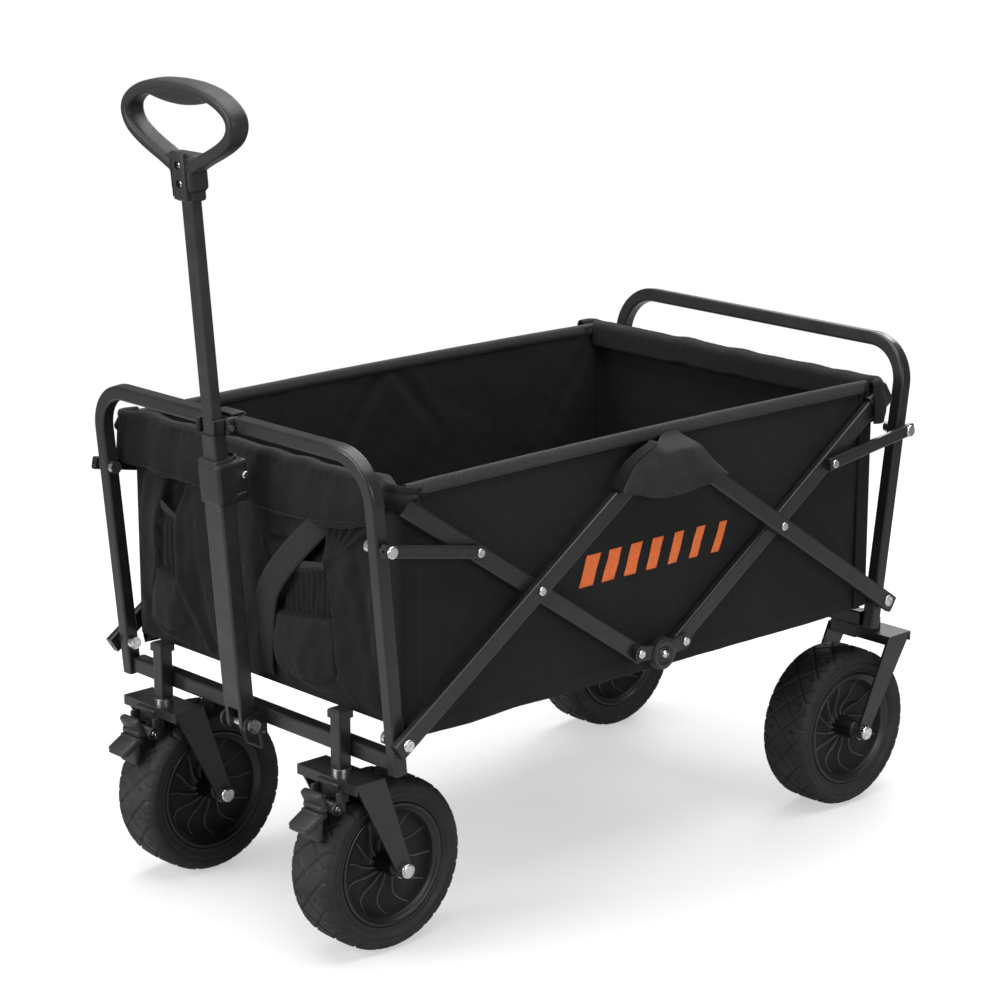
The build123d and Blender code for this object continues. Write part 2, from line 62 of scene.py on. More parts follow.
class Nodes:
    """Small helper for building one node material."""

    def __init__(self, name):
        self.mat = bpy.data.materials.new(name)
        self.mat.use_nodes = True
        self.tree = self.mat.node_tree
        self.bsdf = self.tree.nodes["Principled BSDF"]
        self.coord = self.add("ShaderNodeTexCoord").outputs["Object"]

    def add(self, kind, **values):
        node = self.tree.nodes.new(kind)
        for key, value in values.items():
            if key in node.inputs:
                node.inputs[key].default_value = value
            else:
                setattr(node, key, value)
        return node

    def join(self, a, b):
        self.tree.links.new(a, b)

    def noise(self, scale, detail=3.0, rough=0.5, stretch=None):
        node = self.add("ShaderNodeTexNoise", Scale=scale, Detail=detail, Roughness=rough)
        source = self.coord
        if stretch:
            mapping = self.add("ShaderNodeMapping", Scale=stretch)
            self.join(source, mapping.inputs["Vector"])
            source = mapping.outputs[0]
        self.join(source, node.inputs["Vector"])
        return node.outputs["Fac"]

    def remap(self, value, lo, hi, a, b):
        node = self.add("ShaderNodeMapRange")
        for i, v in enumerate((lo, hi, a, b)):
            node.inputs[i + 1].default_value = v
        self.join(value, node.inputs[0])
        return node.outputs[0]

    def math(self, op, a, b=None):
        node = self.add("ShaderNodeMath", operation=op)
        for i, v in enumerate((a, b)):
            if v is None:
                continue
            if isinstance(v, (int, float)):
                node.inputs[i].default_value = v
            else:
                self.join(v, node.inputs[i])
        return node.outputs[0]

    def mix(self, fac, a, b):
        node = self.add("ShaderNodeMix", data_type="RGBA")
        self.join(fac, node.inputs[0])
        for i, v in ((6, a), (7, b)):
            if isinstance(v, tuple):
                node.inputs[i].default_value = (*v, 1)
            else:
                self.join(v, node.inputs[i])
        return node.outputs[2]

    def bump(self, height, strength, distance, normal=None):
        node = self.add("ShaderNodeBump", Strength=strength, Distance=distance)
        self.join(height, node.inputs["Height"])
        if normal is not None:
            self.join(normal, node.inputs["Normal"])
        self.join(node.outputs[0], self.bsdf.inputs["Normal"])
        return node.outputs[0]

    def set(self, key, value):
        if isinstance(value, (int, float)):
            self.bsdf.inputs[key].default_value = value
        elif isinstance(value, tuple):
            self.bsdf.inputs[key].default_value = (*value, 1)
        else:
            self.join(value, self.bsdf.inputs[key])


def grey(v):
    """Near-neutral colour, a touch blue."""
    return (v, v, v * 1.03)


def powder_coat(name, dark, light, rough=0.42):
    """Satin powder coat: fine orange peel, with worn, slightly brighter edges."""
    m = Nodes(name)
    wide = m.remap(m.noise(6, 3), 0.35, 0.65, 0, 1)
    worn = m.add("ShaderNodeNewGeometry").outputs["Pointiness"]
    edge = m.remap(worn, 0.55, 0.64, 0, 1)
    edge = m.math("MULTIPLY", edge, m.remap(m.noise(60, 4), 0.5, 0.7, 0.0, 0.6))
    base = m.mix(wide, grey(dark), grey(light))
    m.set("Base Color", m.mix(edge, base, grey(light * 1.6)))
    m.set("Roughness", m.remap(m.noise(25, 4), 0.3, 0.7, rough - 0.07, rough + 0.1))
    m.set("Specular IOR Level", 0.36)
    m.set("Coat Weight", 0.2)
    m.set("Coat Roughness", 0.22)
    m.bump(m.noise(900, 2), 0.18, 0.0004)
    return m.mat


def chrome(name):
    """Bright plated steel with faint wear."""
    m = Nodes(name)
    fine = m.noise(240, 4)
    m.set("Base Color", m.mix(m.remap(fine, 0.4, 0.7, 0, 1), (0.72, 0.72, 0.73), (0.45, 0.45, 0.47)))
    m.set("Metallic", 1.0)
    m.set("Roughness", m.remap(fine, 0.3, 0.7, 0.14, 0.34))
    m.bump(m.noise(500, 2), 0.08, 0.0003)
    return m.mat


def moulded(name, base, rough, grain=1400, strength=0.22, sheen=0.0):
    """Moulded plastic: fine grain and faint flow marks."""
    m = Nodes(name)
    flow = m.remap(m.noise(14, 3, stretch=(1, 1, 3)), 0.35, 0.65, 0, 1)
    m.set("Base Color", m.mix(flow, grey(base * 0.8), grey(base * 1.25)))
    m.set("Roughness", m.remap(m.noise(40, 4), 0.3, 0.7, rough - 0.06, rough + 0.08))
    m.set("Specular IOR Level", 0.5)
    m.set("Sheen Weight", sheen)
    m.bump(m.noise(grain, 2), strength, 0.0003)
    return m.mat


def rubber(name):
    """Tyre rubber: matt, faintly dusty, with small mould pits."""
    m = Nodes(name)
    dust = m.remap(m.noise(18, 6, 0.65), 0.42, 0.75, 0, 1)
    m.set("Base Color", m.mix(dust, grey(0.0105), grey(0.024)))
    m.set("Roughness", m.remap(m.noise(50, 4), 0.3, 0.7, 0.52, 0.72))
    m.set("Specular IOR Level", 0.34)
    m.bump(m.noise(700, 3), 0.25, 0.0004)
    return m.mat


def weave(name, base, axes, pitch=1.5 * MM, strength=0.35, tape=False):
    """Woven cloth: two crossed sets of yarns, slubs, lint and soft sheen. axes are the two
    object axes that lie in the cloth."""
    m = Nodes(name)
    parts = m.add("ShaderNodeSeparateXYZ")
    m.join(m.coord, parts.inputs[0])
    wobble = m.math("MULTIPLY", m.math("SUBTRACT", m.noise(90, 2), 0.5), pitch * 0.8)
    waves = []
    for a in axes:
        along = m.math("ADD", parts.outputs[a], wobble)
        waves.append(m.math("SINE", m.math("MULTIPLY", along, math.tau / pitch)))
    if tape:
        diagonal = m.math("ADD", parts.outputs[axes[0]], parts.outputs[axes[1]])
        height = m.math("SINE", m.math("MULTIPLY", diagonal, math.tau / pitch / 1.6))
    else:
        height = m.math("MULTIPLY", waves[0], waves[1])
    tone = m.remap(height, -1, 1, 0, 0.5)
    slub = m.remap(m.noise(220, 4, 0.6), 0.35, 0.7, 0, 0.5)
    fade = m.remap(m.noise(5, 4), 0.35, 0.7, 0, 1)
    dark = m.mix(fade, grey(base * 0.72), grey(base * 1.1))
    m.set("Base Color", m.mix(m.math("ADD", tone, slub), dark, grey(base * 1.9)))
    m.set("Roughness", m.remap(slub, 0, 0.5, 0.77, 0.93))
    m.set("Specular IOR Level", 0.2)
    m.set("Sheen Weight", 0.05)
    m.set("Sheen Roughness", 0.4)
    creases = m.bump(m.noise(35, 4, 0.6), 0.25, 0.002)
    m.bump(height, strength, pitch * 0.25, creases)
    return m.mat


def print_ink(name, colour):
    """Printed colour with a slightly broken surface."""
    m = Nodes(name)
    patch = m.remap(m.noise(320, 4, 0.7), 0.42, 0.62, 0, 1)
    m.set("Base Color", m.mix(patch, tuple(c * 0.8 for c in colour), colour))
    m.set("Roughness", 0.6)
    m.bump(m.noise(900, 3), 0.3, 0.0004)
    return m.mat


M = {
    "frame": powder_coat("frame_powder_coat", 0.0105, 0.0135, 0.36),
    "handle": powder_coat("handle_powder_coat", 0.0185, 0.0225, 0.42),
    "chrome": chrome("plated_steel"),
    "plastic": moulded("moulded_black_plastic", 0.014, 0.46),
    "grip": moulded("grip_soft_plastic", 0.0085, 0.5, 1100, 0.3, 0.04),
    "rim": moulded("rim_black_plastic", 0.005, 0.36, 1600, 0.12),
    # the same black rim plastic painted much lighter: painted highlight on the bowl's ribs
    "rib_painted_highlight": moulded("rim_rib_painted_highlight", 0.055, 0.38, 1600, 0.12),
    # the same black rim plastic painted darker: painted shade in the wheel's deep bowl
    "bowl_painted_shade": moulded("rim_bowl_painted_shade", 0.0012, 0.7, 1600, 0.12),
    "sleeve": moulded("corner_sleeve_plastic", 0.005, 0.42, 1200, 0.2),
    "strap": weave("strap_webbing", 0.017, (1, 2), 2.2 * MM, tape=True),
    "tyre": rubber("tyre_rubber"),
    "side": weave("cloth_side", 0.0085, (0, 2)),
    "end": weave("cloth_end", 0.0068, (1, 2)),
    "floor": weave("cloth_floor", 0.0085, (0, 1)),
    "tape_x": weave("webbing_side", 0.03, (0, 2), 2.2 * MM, tape=True),
    "tape_y": weave("webbing_end", 0.03, (1, 2), 2.2 * MM, tape=True),
    "tab": weave("cloth_tab", 0.019, (0, 2), 1.6 * MM),
    "mesh": weave("pocket_net", 0.0035, (1, 2), 3.2 * MM, strength=0.6),
    # near-black cloth that stands for shade: painted shade in the pocket mouths, on the front corner
    # sleeves and on the tab skirts
    "hollow": weave("painted_shade_cloth", 0.002, (1, 2)),
    "orange": print_ink("orange_print", (0.86, 0.17, 0.03)),
}

CAD_LOOKS = {
    "frame_tube": "frame", "bright_fastener": "chrome", "moulded_black": "plastic",
    "handle_tube": "handle", "grip_black": "grip", "tyre_black": "tyre",
    "rim_black": "rim", "tub_cloth": "side", "webbing": "tape_x",
}
SLOTS = {item["node"]: item["material_slot"] for item in frame["record"]["subparts"]}


def dress(obj, look):
    """Give a CAD node its one material."""
    obj.data.materials.clear()
    obj.data.materials.append(M[look])


for name, obj in frame["nodes"].items():
    dress(obj, CAD_LOOKS[SLOTS[name]])
    bevel = obj.modifiers.new("edges", "BEVEL")
    bevel.width = 0.5 * MM
    bevel.segments = 2
    bevel.limit_method = "ANGLE"
    bevel.angle_limit = math.radians(40)
    bevel.harden_normals = True

# ------------------------------------------------------------------ mesh helpers


def new_mesh(name, verts, faces, look, smooth=True):
    """Mesh object in the scene from points in metres and faces, with one material."""
    data = bpy.data.meshes.new(name)
    data.from_pydata([tuple(v) for v in verts], [], [tuple(int(i) for i in f) for f in faces])
    data.validate()
    data.update()
    obj = bpy.data.objects.new(name, data)
    bpy.context.scene.collection.objects.link(obj)
    for poly in data.polygons:
        poly.use_smooth = smooth
    data.materials.append(M[look])
    return obj


def grid_faces(rows, cols, wrap_rows=False, wrap_cols=False):
    """Quads over a rows x cols grid of points, stored row by row."""
    faces = []
    for r in range(rows if wrap_rows else rows - 1):
        for c in range(cols if wrap_cols else cols - 1):
            r2, c2 = (r + 1) % rows, (c + 1) % cols
            faces.append((r * cols + c, r * cols + c2, r2 * cols + c2, r2 * cols + c))
    return faces


def modifier(obj, kind, **values):
    """Add a modifier and set its values."""
    mod = obj.modifiers.new(kind.lower(), kind)
    for key, value in values.items():
        setattr(mod, key, value)
    return mod


def bake(obj):
    """Apply every modifier, so that the mesh is final."""
    bpy.context.view_layer.update()
    graph = bpy.context.evaluated_depsgraph_get()
    data = bpy.data.meshes.new_from_object(obj.evaluated_get(graph))
    obj.modifiers.clear()
    obj.data = data
    return obj


def merge(name, objs):
    """Join objects into one piece; each keeps its own material."""
    bpy.ops.object.select_all(action="DESELECT")
    for obj in objs:
        obj.select_set(True)
    bpy.context.view_layer.objects.active = objs[0]
    bpy.ops.object.join()
    objs[0].name = name
    return objs[0]


def install(pieces, body, slot, *nodes):
    """Hang finished pieces on a body and hide the given CAD nodes."""
    for piece in pieces:
        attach(piece, body)
    if nodes:
        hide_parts(*nodes)


def turn_onto_y(x, y, z, way=-1):
    """Place whose local +Z looks along +Y (way -1) or -Y (way 1), mm."""
    return Matrix.Translation((x, y, z)) @ Matrix.Rotation(way * QUARTER_TURN, 4, "X")


def smoothstep(lo, hi, x):
    """0 below lo, 1 above hi, smooth between."""
    t = np.clip((np.asarray(x, float) - lo) / (hi - lo), 0, 1)
    return t * t * (3 - 2 * t)


def bumpy(x, centre, width):
    """A smooth hump of height 1 and half-width `width`."""
    return np.exp(-((x - centre) / width) ** 2)


# ------------------------------------------------------------------ wheels

TYRE_PROFILE = [  # (radius, half offset) from the bead out to the tread's middle, mm
    (66.0, 21.0), (66.6, 25.0), (68.6, 28.2), (70.2, 29.2), (71.4, 28.2), (73.0, 28.6),
    (75.0, 30.6), (77.6, 31.6), (79.6, 32.0), (80.8, 30.9), (82.0, 32.2), (85.0, 32.4), (87.6, 31.4),
    (90.0, 29.4),
    (92.0, 26.6), (93.4, 23.4),
]


WHEEL_R, TREAD_HALF = 95.0, 22.0
TREAD_REPEATS, SHOULDER_NOTCHES = 18, 36
TREAD_DEEP = 2.2


def tread_depth(s, t):
    """Groove depth in mm at arc length s and offset t across the tread, both in mm."""
    pitch = math.tau * WHEEL_R / TREAD_REPEATS
    a = (s / pitch + t / 31.0) % 1.0
    b = (s / pitch - t / 31.0) % 1.0
    line = np.minimum(np.abs(a - 0.5), np.abs(b - 0.5)) * pitch * 0.68
    deep = TREAD_DEEP * (1 - smoothstep(0.55, 1.35, line))
    u = (s / pitch) % 1.0 - 0.5
    v = t / 15.5
    v = v - np.round(v)
    leg_a = (np.abs(u * pitch - 2.5) < 0.9) & (np.abs(v * 15.5) < 3.6)
    leg_b = (np.abs(v * 15.5 - 3.0) < 0.9) & (np.abs(u * pitch) < 3.6)
    return np.maximum(deep, TREAD_DEEP * (leg_a | leg_b))


def build_tyre():
    """Tyre with a diamond tread, small L marks, notched shoulders and a ringed sidewall."""
    turns = 420
    across = np.linspace(-TREAD_HALF, TREAD_HALF, 37)
    half = np.array(TYRE_PROFILE)
    rings = [(r, -y) for r, y in half] + [(WHEEL_R - 0.9 * (abs(t) / TREAD_HALF) ** 3, t) for t in across]
    rings += [(r, y) for r, y in half[::-1]]
    rings = np.array(rings)
    angle = np.linspace(0, math.tau, turns, endpoint=False)
    r = np.repeat(rings[:, :1], turns, axis=1)
    y = np.repeat(rings[:, 1:], turns, axis=1)
    s = angle[None, :] * WHEEL_R
    on_tread = r > 92.9
    r = np.where(on_tread, r - tread_depth(s, y), r)
    notch = np.abs(((angle / (math.tau) * SHOULDER_NOTCHES) % 1.0) - 0.5) * (
        math.tau * 88 / SHOULDER_NOTCHES)
    shoulder = (r > 83) & ~on_tread
    r = np.where(shoulder, r - 1.3 * (1 - smoothstep(0.8, 1.7, notch))[None, :], r)
    x, z = r * np.cos(angle)[None, :], r * np.sin(angle)[None, :]
    verts = np.stack([x, y, z], axis=-1).reshape(-1, 3) * MM
    faces = grid_faces(len(rings), turns, wrap_rows=True, wrap_cols=True)
    return new_mesh("tyre_shape", verts, faces, "tyre")


def lathe(name, profile, turns, look):
    """Ring about the Y axis from (radius, offset) points in mm."""
    prof = np.array(profile, float)
    angle = np.linspace(0, math.tau, turns, endpoint=False)
    x = prof[:, :1] * np.cos(angle)
    z = prof[:, :1] * np.sin(angle)
    y = np.repeat(prof[:, 1:], turns, axis=1)
    verts = np.stack([x, y, z], axis=-1).reshape(-1, 3) * MM
    return new_mesh(name, verts, grid_faces(len(prof), turns, True, True), look)


RIM_FACE = [  # (radius, offset) in mm: bead, stepped lip, deep bowl, hub
    (65.8, 20), (65.8, 25.6), (67.6, 27.6), (67.2, 28.6), (65.0, 28.8), (63.0, 27.6),
    (62.4, 25.8), (59.4, 25.2), (58.4, 23.6), (57.0, 18.5), (54.2, 13.2), (49, 9.4), (41, 7.0),
    (30, 5.8), (20, 5.8), (14.5, 7.4), (12.4, 11), (11.6, 20), (11.2, 31), (10.4, 34.6),
    (9.6, 37.4), (6.4, 37.4),
]


def build_rim():
    """Deep bowl on each face, with thin curved ribs that run from the hub out to the lip. The bowl's
    faces carry painted shade (a darker copy of the rim plastic) and the ribs a painted highlight (a
    lighter copy).
    """
    ring = RIM_FACE + [(r, -y) for r, y in RIM_FACE[::-1]]
    body = lathe("rim_body", ring, 128, "rim")
    body.data.materials.append(M["bowl_painted_shade"])
    # faces inside the deep bowl get the darker plastic, as painted shade
    for face in body.data.polygons:
        x, y, z = face.center / MM
        face.material_index = int(14 < math.hypot(x, z) < 58.6 and abs(y) < 24.0)
    bowl = sorted(RIM_FACE[9:18])
    verts, faces = [], []
    blades, steps = 12, 22
    for face in (1, -1):
        for n in range(blades):
            base = len(verts)
            for k in range(steps + 1):
                f = k / steps
                radius = 12.0 + f * (57.2 - 12.0)
                sweep = 0.55 * math.sin(f * 2.2) * face
                floor_y = np.interp(radius, *zip(*bowl)) if f > 0.06 else 9.0
                crest = floor_y + 1.4 + 2.6 * math.sin(math.pi * min(f * 1.25 + 0.12, 1) ** 0.8)
                for w, y in ((-1.3, floor_y - 1.2), (-0.7, crest), (0.7, crest),
                             (1.3, floor_y - 1.2)):
                    turn = n * math.tau / blades + sweep + w / radius
                    verts.append((radius * math.cos(turn) * MM, face * y * MM,
                                  radius * math.sin(turn) * MM))
            for k in range(steps):
                for q in range(4):
                    a0, b0 = base + 4 * k + q, base + 4 * k + (q + 1) % 4
                    quad = (a0, b0, b0 + 4, a0 + 4)
                    faces.append(quad if face > 0 else quad[::-1])
            faces.append(tuple(range(base, base + 4))[::face])
            faces.append(tuple(range(base + 4 * steps, base + 4 * steps + 4))[::-face])
    # the ribs take the lighter plastic, as painted highlight
    ribs = new_mesh("rim_ribs", verts, faces, "rib_painted_highlight", smooth=False)
    modifier(ribs, "BEVEL", width=0.5 * MM, segments=3, limit_method="ANGLE")
    return merge("rim_shape", [body, bake(ribs)])


def build_wheels():
    """One tyre and one rim shape, copied to the four wheels at different turns."""
    tyre, rim = build_tyre(), build_rim()
    for end in ("front", "rear"):
        for side in ("left", "right"):
            turn = Matrix.Rotation(0.7 * (end == "rear") + 0.4 * (side == "left"), 4, "Y")
            for kind, shape in (("tyre", tyre), ("rim", rim)):
                lo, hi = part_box(f"{end}_{side}_{kind}")
                data = shape.data.copy()
                data.transform(turn)
                piece = bpy.data.objects.new(f"{end}_{side}_{kind}_made", data)
                bpy.context.scene.collection.objects.link(piece)
                piece.location = (Vector(lo) + Vector(hi)) / 2
                install([piece], f"{end}_wheel_{side}", f"{kind}_black", f"{end}_{side}_{kind}")
    for obj in (tyre, rim):
        bpy.data.objects.remove(obj)


# ------------------------------------------------------------------ cloth helpers


RIPPLE_WAVES = 14


def ripple(a, b, scale, seed=1):
    """Smooth random waviness in -1..1 over two coordinates in mm; scale is a wavelength."""
    gen = np.random.default_rng(seed)
    total = np.zeros(np.broadcast(a, b).shape)
    for _ in range(RIPPLE_WAVES):
        way = gen.uniform(0, math.tau)
        k = math.tau / (scale * gen.uniform(0.6, 1.7))
        total += np.cos(k * (np.cos(way) * a + np.sin(way) * b) + gen.uniform(0, math.tau))
    return total / math.sqrt(RIPPLE_WAVES * 2)


def near_line(points, a, b):
    """Distance in mm from each grid point to an open polyline."""
    nearest = np.full(a.shape, 1e9)
    for (a0, b0), (a1, b1) in zip(points[:-1], points[1:]):
        da, db = a1 - a0, b1 - b0
        t = np.clip(((a - a0) * da + (b - b0) * db) / (da * da + db * db), 0, 1)
        nearest = np.minimum(nearest, np.hypot(a - a0 - t * da, b - b0 - t * db))
    return nearest


def inside(outline, a, b, soft):
    """1 inside a closed outline, 0 outside, with a border `soft` mm wide."""
    ring = [*outline, outline[0]]
    within = np.zeros(a.shape, bool)
    for (a0, b0), (a1, b1) in zip(ring[:-1], ring[1:]):
        rise = b1 - b0 or 1e-9
        within ^= ((b0 > b) != (b1 > b)) & (a < a0 + (b - b0) / rise * (a1 - a0))
    nearest = near_line(ring, a, b)
    return smoothstep(-soft / 2, soft / 2, np.where(within, nearest, -nearest))


def sheet(name, x, y, z, look, thick=2.0, offset=-1.0, masks=()):
    """Cloth from grids of points in mm, given a thickness. masks: (look, 0..1 grid) pairs."""
    rows, cols = x.shape
    verts = np.stack([x, y, z], axis=-1).reshape(-1, 3) * MM
    obj = new_mesh(name, verts, grid_faces(rows, cols), look)
    for slot, (other, mask) in enumerate(masks, 1):
        obj.data.materials.append(M[other])
        centre = (mask[:-1, :-1] + mask[1:, :-1] + mask[:-1, 1:] + mask[1:, 1:]) / 4
        for poly, value in zip(obj.data.polygons, centre.reshape(-1)):
            if value > 0.5:
                poly.material_index = slot
    modifier(obj, "SOLIDIFY", thickness=thick * MM, offset=offset, use_even_offset=False)
    return bake(obj)


def curve_points(points, count):
    """Smooth curve through control points (Catmull-Rom), as an array."""
    pts = np.array(points, float)
    pts = np.vstack([2 * pts[0] - pts[1], pts, 2 * pts[-1] - pts[-2]])
    out = []
    spans = len(pts) - 3
    for t in np.linspace(0, spans, count):
        i = min(int(t), spans - 1)
        f = t - i
        p0, p1, p2, p3 = pts[i:i + 4]
        out.append(0.5 * (2 * p1 + (p2 - p0) * f + (2 * p0 - 5 * p1 + 4 * p2 - p3) * f ** 2
                          + (3 * p1 - p0 - 3 * p2 + p3) * f ** 3))
    return np.array(out)


def ribbon(name, points, normal, width, look, thick=1.6, count=48, taper=(1.0, 1.0)):
    """Flat webbing along a smooth curve; `normal` is the way its face looks."""
    line = curve_points(points, count)
    way = np.gradient(line, axis=0)
    way /= np.linalg.norm(way, axis=1, keepdims=True)
    face = np.broadcast_to(np.array(normal, float), line.shape)
    across = np.cross(way, face)
    across /= np.linalg.norm(across, axis=1, keepdims=True)
    up = np.cross(across, way)
    wide = width * np.interp(np.linspace(0, 1, count), np.linspace(0, 1, len(taper)), taper)
    cols = np.linspace(-0.5, 0.5, 9)
    grid = line[:, None, :] + across[:, None, :] * (wide[:, None, None] * cols[None, :, None])
    crown = 0.35 * (1 - (2 * cols) ** 4)
    grid = grid + up[:, None, :] * crown[None, :, None]
    return sheet(name, grid[..., 0], grid[..., 1], grid[..., 2], look, thick, 0.0)


def stitches(name, points, normal, look="tape_y", pitch=5.0, lift=0.5, radius=0.45):
    """A row of thread stitches laid along a curve."""
    line = curve_points(points, max(8, len(points) * 30))
    gaps = np.r_[0, np.cumsum(np.linalg.norm(np.diff(line, axis=0), axis=1))]
    verts, faces = [], []
    out = np.array(normal, float)
    for start in np.arange(0, gaps[-1] - pitch, pitch):
        ends = [np.array([np.interp(d, gaps, line[:, i]) for i in range(3)])
                for d in (start, start + pitch * 0.62)]
        way = (ends[1] - ends[0]) / max(np.linalg.norm(ends[1] - ends[0]), 1e-6)
        side = np.cross(way, out)
        base = len(verts)
        mid = (ends[0] + ends[1]) / 2 + out * lift
        for spot, rise in ((ends[0], -0.2), (mid, 0.0), (ends[1], -0.2)):
            for c, s in ((1, 0), (0, 1), (-1, 0), (0, -1)):
                verts.append((spot + out * rise + side * c * radius + out * s * radius) * MM)
        for k in range(2):
            for q in range(4):
                a, b = base + 4 * k + q, base + 4 * k + (q + 1) % 4
                faces.append((a, b, b + 4, a + 4))
        faces += [tuple(base + q for q in (3, 2, 1, 0)), tuple(base + 8 + q for q in range(4))]
    return new_mesh(name, verts, faces, look)


# ------------------------------------------------------------------ cloth tub

SIDE_Y, FRONT_X, REAR_X = 225.0, 361.0, -364.0
SIDE_THICK = 2.0
CORNER_R, CORNER_TAIL = 11.0, 16.0  # how the end walls turn onto the sides
WALL_TOP, FRONT_FOOT, REAR_FOOT = 512.0, 263.5, 247.0
PAD_MID_Z, PAD_THICK, PAD_CELL = 281.0, 5.0, 9.0
PAD_PRESSURE, PAD_CAP, PAD_FRAMES = 3.0, 4.0, 20
NEAR_POCKET = {
    "mouth": [(104, 456), (73, 408), (121, 416), (117, 440)],
    "net": [(64, 396), (122, 410), (131, 404), (137, 361), (31, 347), (48, 372)],
    "panel": [(29, 349), (137, 361), (140, 301), (120, 290), (68, 284), (48, 288), (36, 312)],
    "bulge": ((76, 320), (46, 32)),
}
FAR_POCKET = {
    "mouth": [(-164, 458), (-128, 456), (-130, 412), (-162, 424)],
    "net": [(-163, 420), (-129, 408), (-125, 349), (-168, 353)],
    "panel": [(-168, 353), (-125, 349), (-112, 300), (-150, 283), (-176, 300)],
    "bulge": ((-146, 318), (30, 34)),
}
TUCK = (127.6, 418.0)
SEWN_EDGES = [  # sewn borders: (z, y) points upward, lift in mm, how far it reaches, which way
    (((272, 188), (298, 146), (330, 141), (374, 137), (418, 128), (438, 120)), 7.0, 26, 1),
    (((300, -112), (350, -126), (408, -129), (440, -128)), 5.5, 22, 1),
    (((300, -182), (352, -169), (420, -163), (456, -162)), 5.5, 20, -1),
]
FRONT_FOLDS = [  # (line of (y, z) points, height, width) in mm
    (((-158, 430), (-164, 352), (-190, 300)), -2.6, 4.0),
    (((-128, 452), (-118, 351), (-86, 274)), 4.0, 4.5),
    (((-105, 420), (-98, 340), (-80, 280)), -3.0, 5.0),
    (((-196, 440), (-204, 380), (-196, 300)), 3.4, 6.0),
    (((160, 440), (176, 380), (188, 320), (203, 280)), -3.4, 7.0),
    (((150, 300), (176, 286), (210, 268)), 3.2, 4.5),
    (((60, 284), (100, 279), (150, 286), (200, 272)), 3.2, 4.0),
    (((-185, 290), (-150, 276), (-95, 274)), 2.8, 4.5),
    (((-60, 452), (-52, 380), (-40, 300)), 2.6, 7.0),
    (((28, 425), (57, 427)), -6.0, 3.2),
]


def front_relief(y, z):
    """How far the front cloth stands out from the wall plane, mm, and the region masks."""
    belly = smoothstep(262, 300, z) * (1 - smoothstep(400, 462, z))
    out = 15 * bumpy(y, 100, 74) * belly + 14 * bumpy(y, -140, 62) * belly
    masks = {}
    for tag, pocket in (("near", NEAR_POCKET), ("far", FAR_POCKET)):
        mouth = inside(pocket["mouth"], y, z, 5)
        net = inside(pocket["net"], y, z, 4)
        panel = inside(pocket["panel"], y, z, 3.5)
        (cy, cz), (wy, wz) = pocket["bulge"]
        dome = bumpy(y, cy, wy) * bumpy(z, cz, wz)
        out = out - 10.0 * mouth - 3.0 * net + panel * (3.0 + 9.0 * dome)
        gather = np.sin(y * math.tau / 9.0 + 1.5 * ripple(y, z, 60, seed=5))
        out = out + net * 0.9 * gather + panel * 1.1 * ripple(y, z, 42, seed=9)
        masks[tag] = (mouth, net, panel)
    pleats = np.zeros_like(out)
    for y_top in (113, 127, 142, 160, 180):
        line = near_line([TUCK, (y_top, 466)], y, z)
        pleats += 4.6 * np.exp(-(line / 3.6) ** 2)
        line = near_line([TUCK, (y_top + 7, 466)], y, z)
        pleats -= 3.0 * np.exp(-(line / 2.6) ** 2)
    out = out + pleats * smoothstep(404, 424, z) - 5 * np.exp(
        -(np.hypot(y - TUCK[0], z - TUCK[1]) / 6) ** 2)
    for border, lift, reach, way in SEWN_EDGES:
        line_y = np.interp(z, *zip(*border))
        past = (y - line_y) * way
        ends = smoothstep(border[0][0], border[0][0] + 24, z) * (
            1 - smoothstep(border[-1][0] - 20, border[-1][0], z))
        out = out + lift * smoothstep(-1.3, 1.3, past) * np.exp(-past.clip(0) / reach) * ends
    for line, height, width in FRONT_FOLDS:
        out = out + height * np.exp(-(near_line(line, y, z) / width) ** 2)
    out = out + 2.0 * ripple(y, z * 0.5, 46, seed=3) + 0.8 * ripple(y, z, 17, seed=4)
    return out * smoothstep(264, 276, z), masks


def corner_wrap(along, half, radius=CORNER_R, tail=CORNER_TAIL):
    """Plan of a wall that turns both corners: depth inwards, y and turn for a length along."""
    flat = half - radius
    quarter = radius * QUARTER_TURN
    a = np.abs(along)
    turn = np.clip((a - flat) / quarter, 0, 1) * QUARTER_TURN
    past = np.clip(a - flat - quarter, 0, tail)
    y = np.where(a < flat, a, flat + radius * np.sin(turn))
    depth = radius * (1 - np.cos(turn)) + past
    return depth, np.sign(along) * y, turn


def end_wall(name, x_face, outward, foot, relief, look, masks=None):
    """Front or rear wall of the tub, turning the corners onto the sides."""
    reach = SIDE_Y - CORNER_R + CORNER_R * QUARTER_TURN + CORNER_TAIL
    s = np.linspace(-reach, reach, 236)
    v = np.linspace(0, 1, 116)
    along, rise = np.meshgrid(s, v)
    z = foot + rise * (WALL_TOP - foot)
    depth, y, _ = corner_wrap(along, SIDE_Y + 0.8)
    flat = 1 - smoothstep(SIDE_Y - 24, SIDE_Y - 4, np.abs(along))
    stand, regions = relief(along, z)
    x = x_face + outward * (stand * flat - depth)
    return sheet(name, x, y, z, look, 2.2, masks=masks(regions) if masks else ())


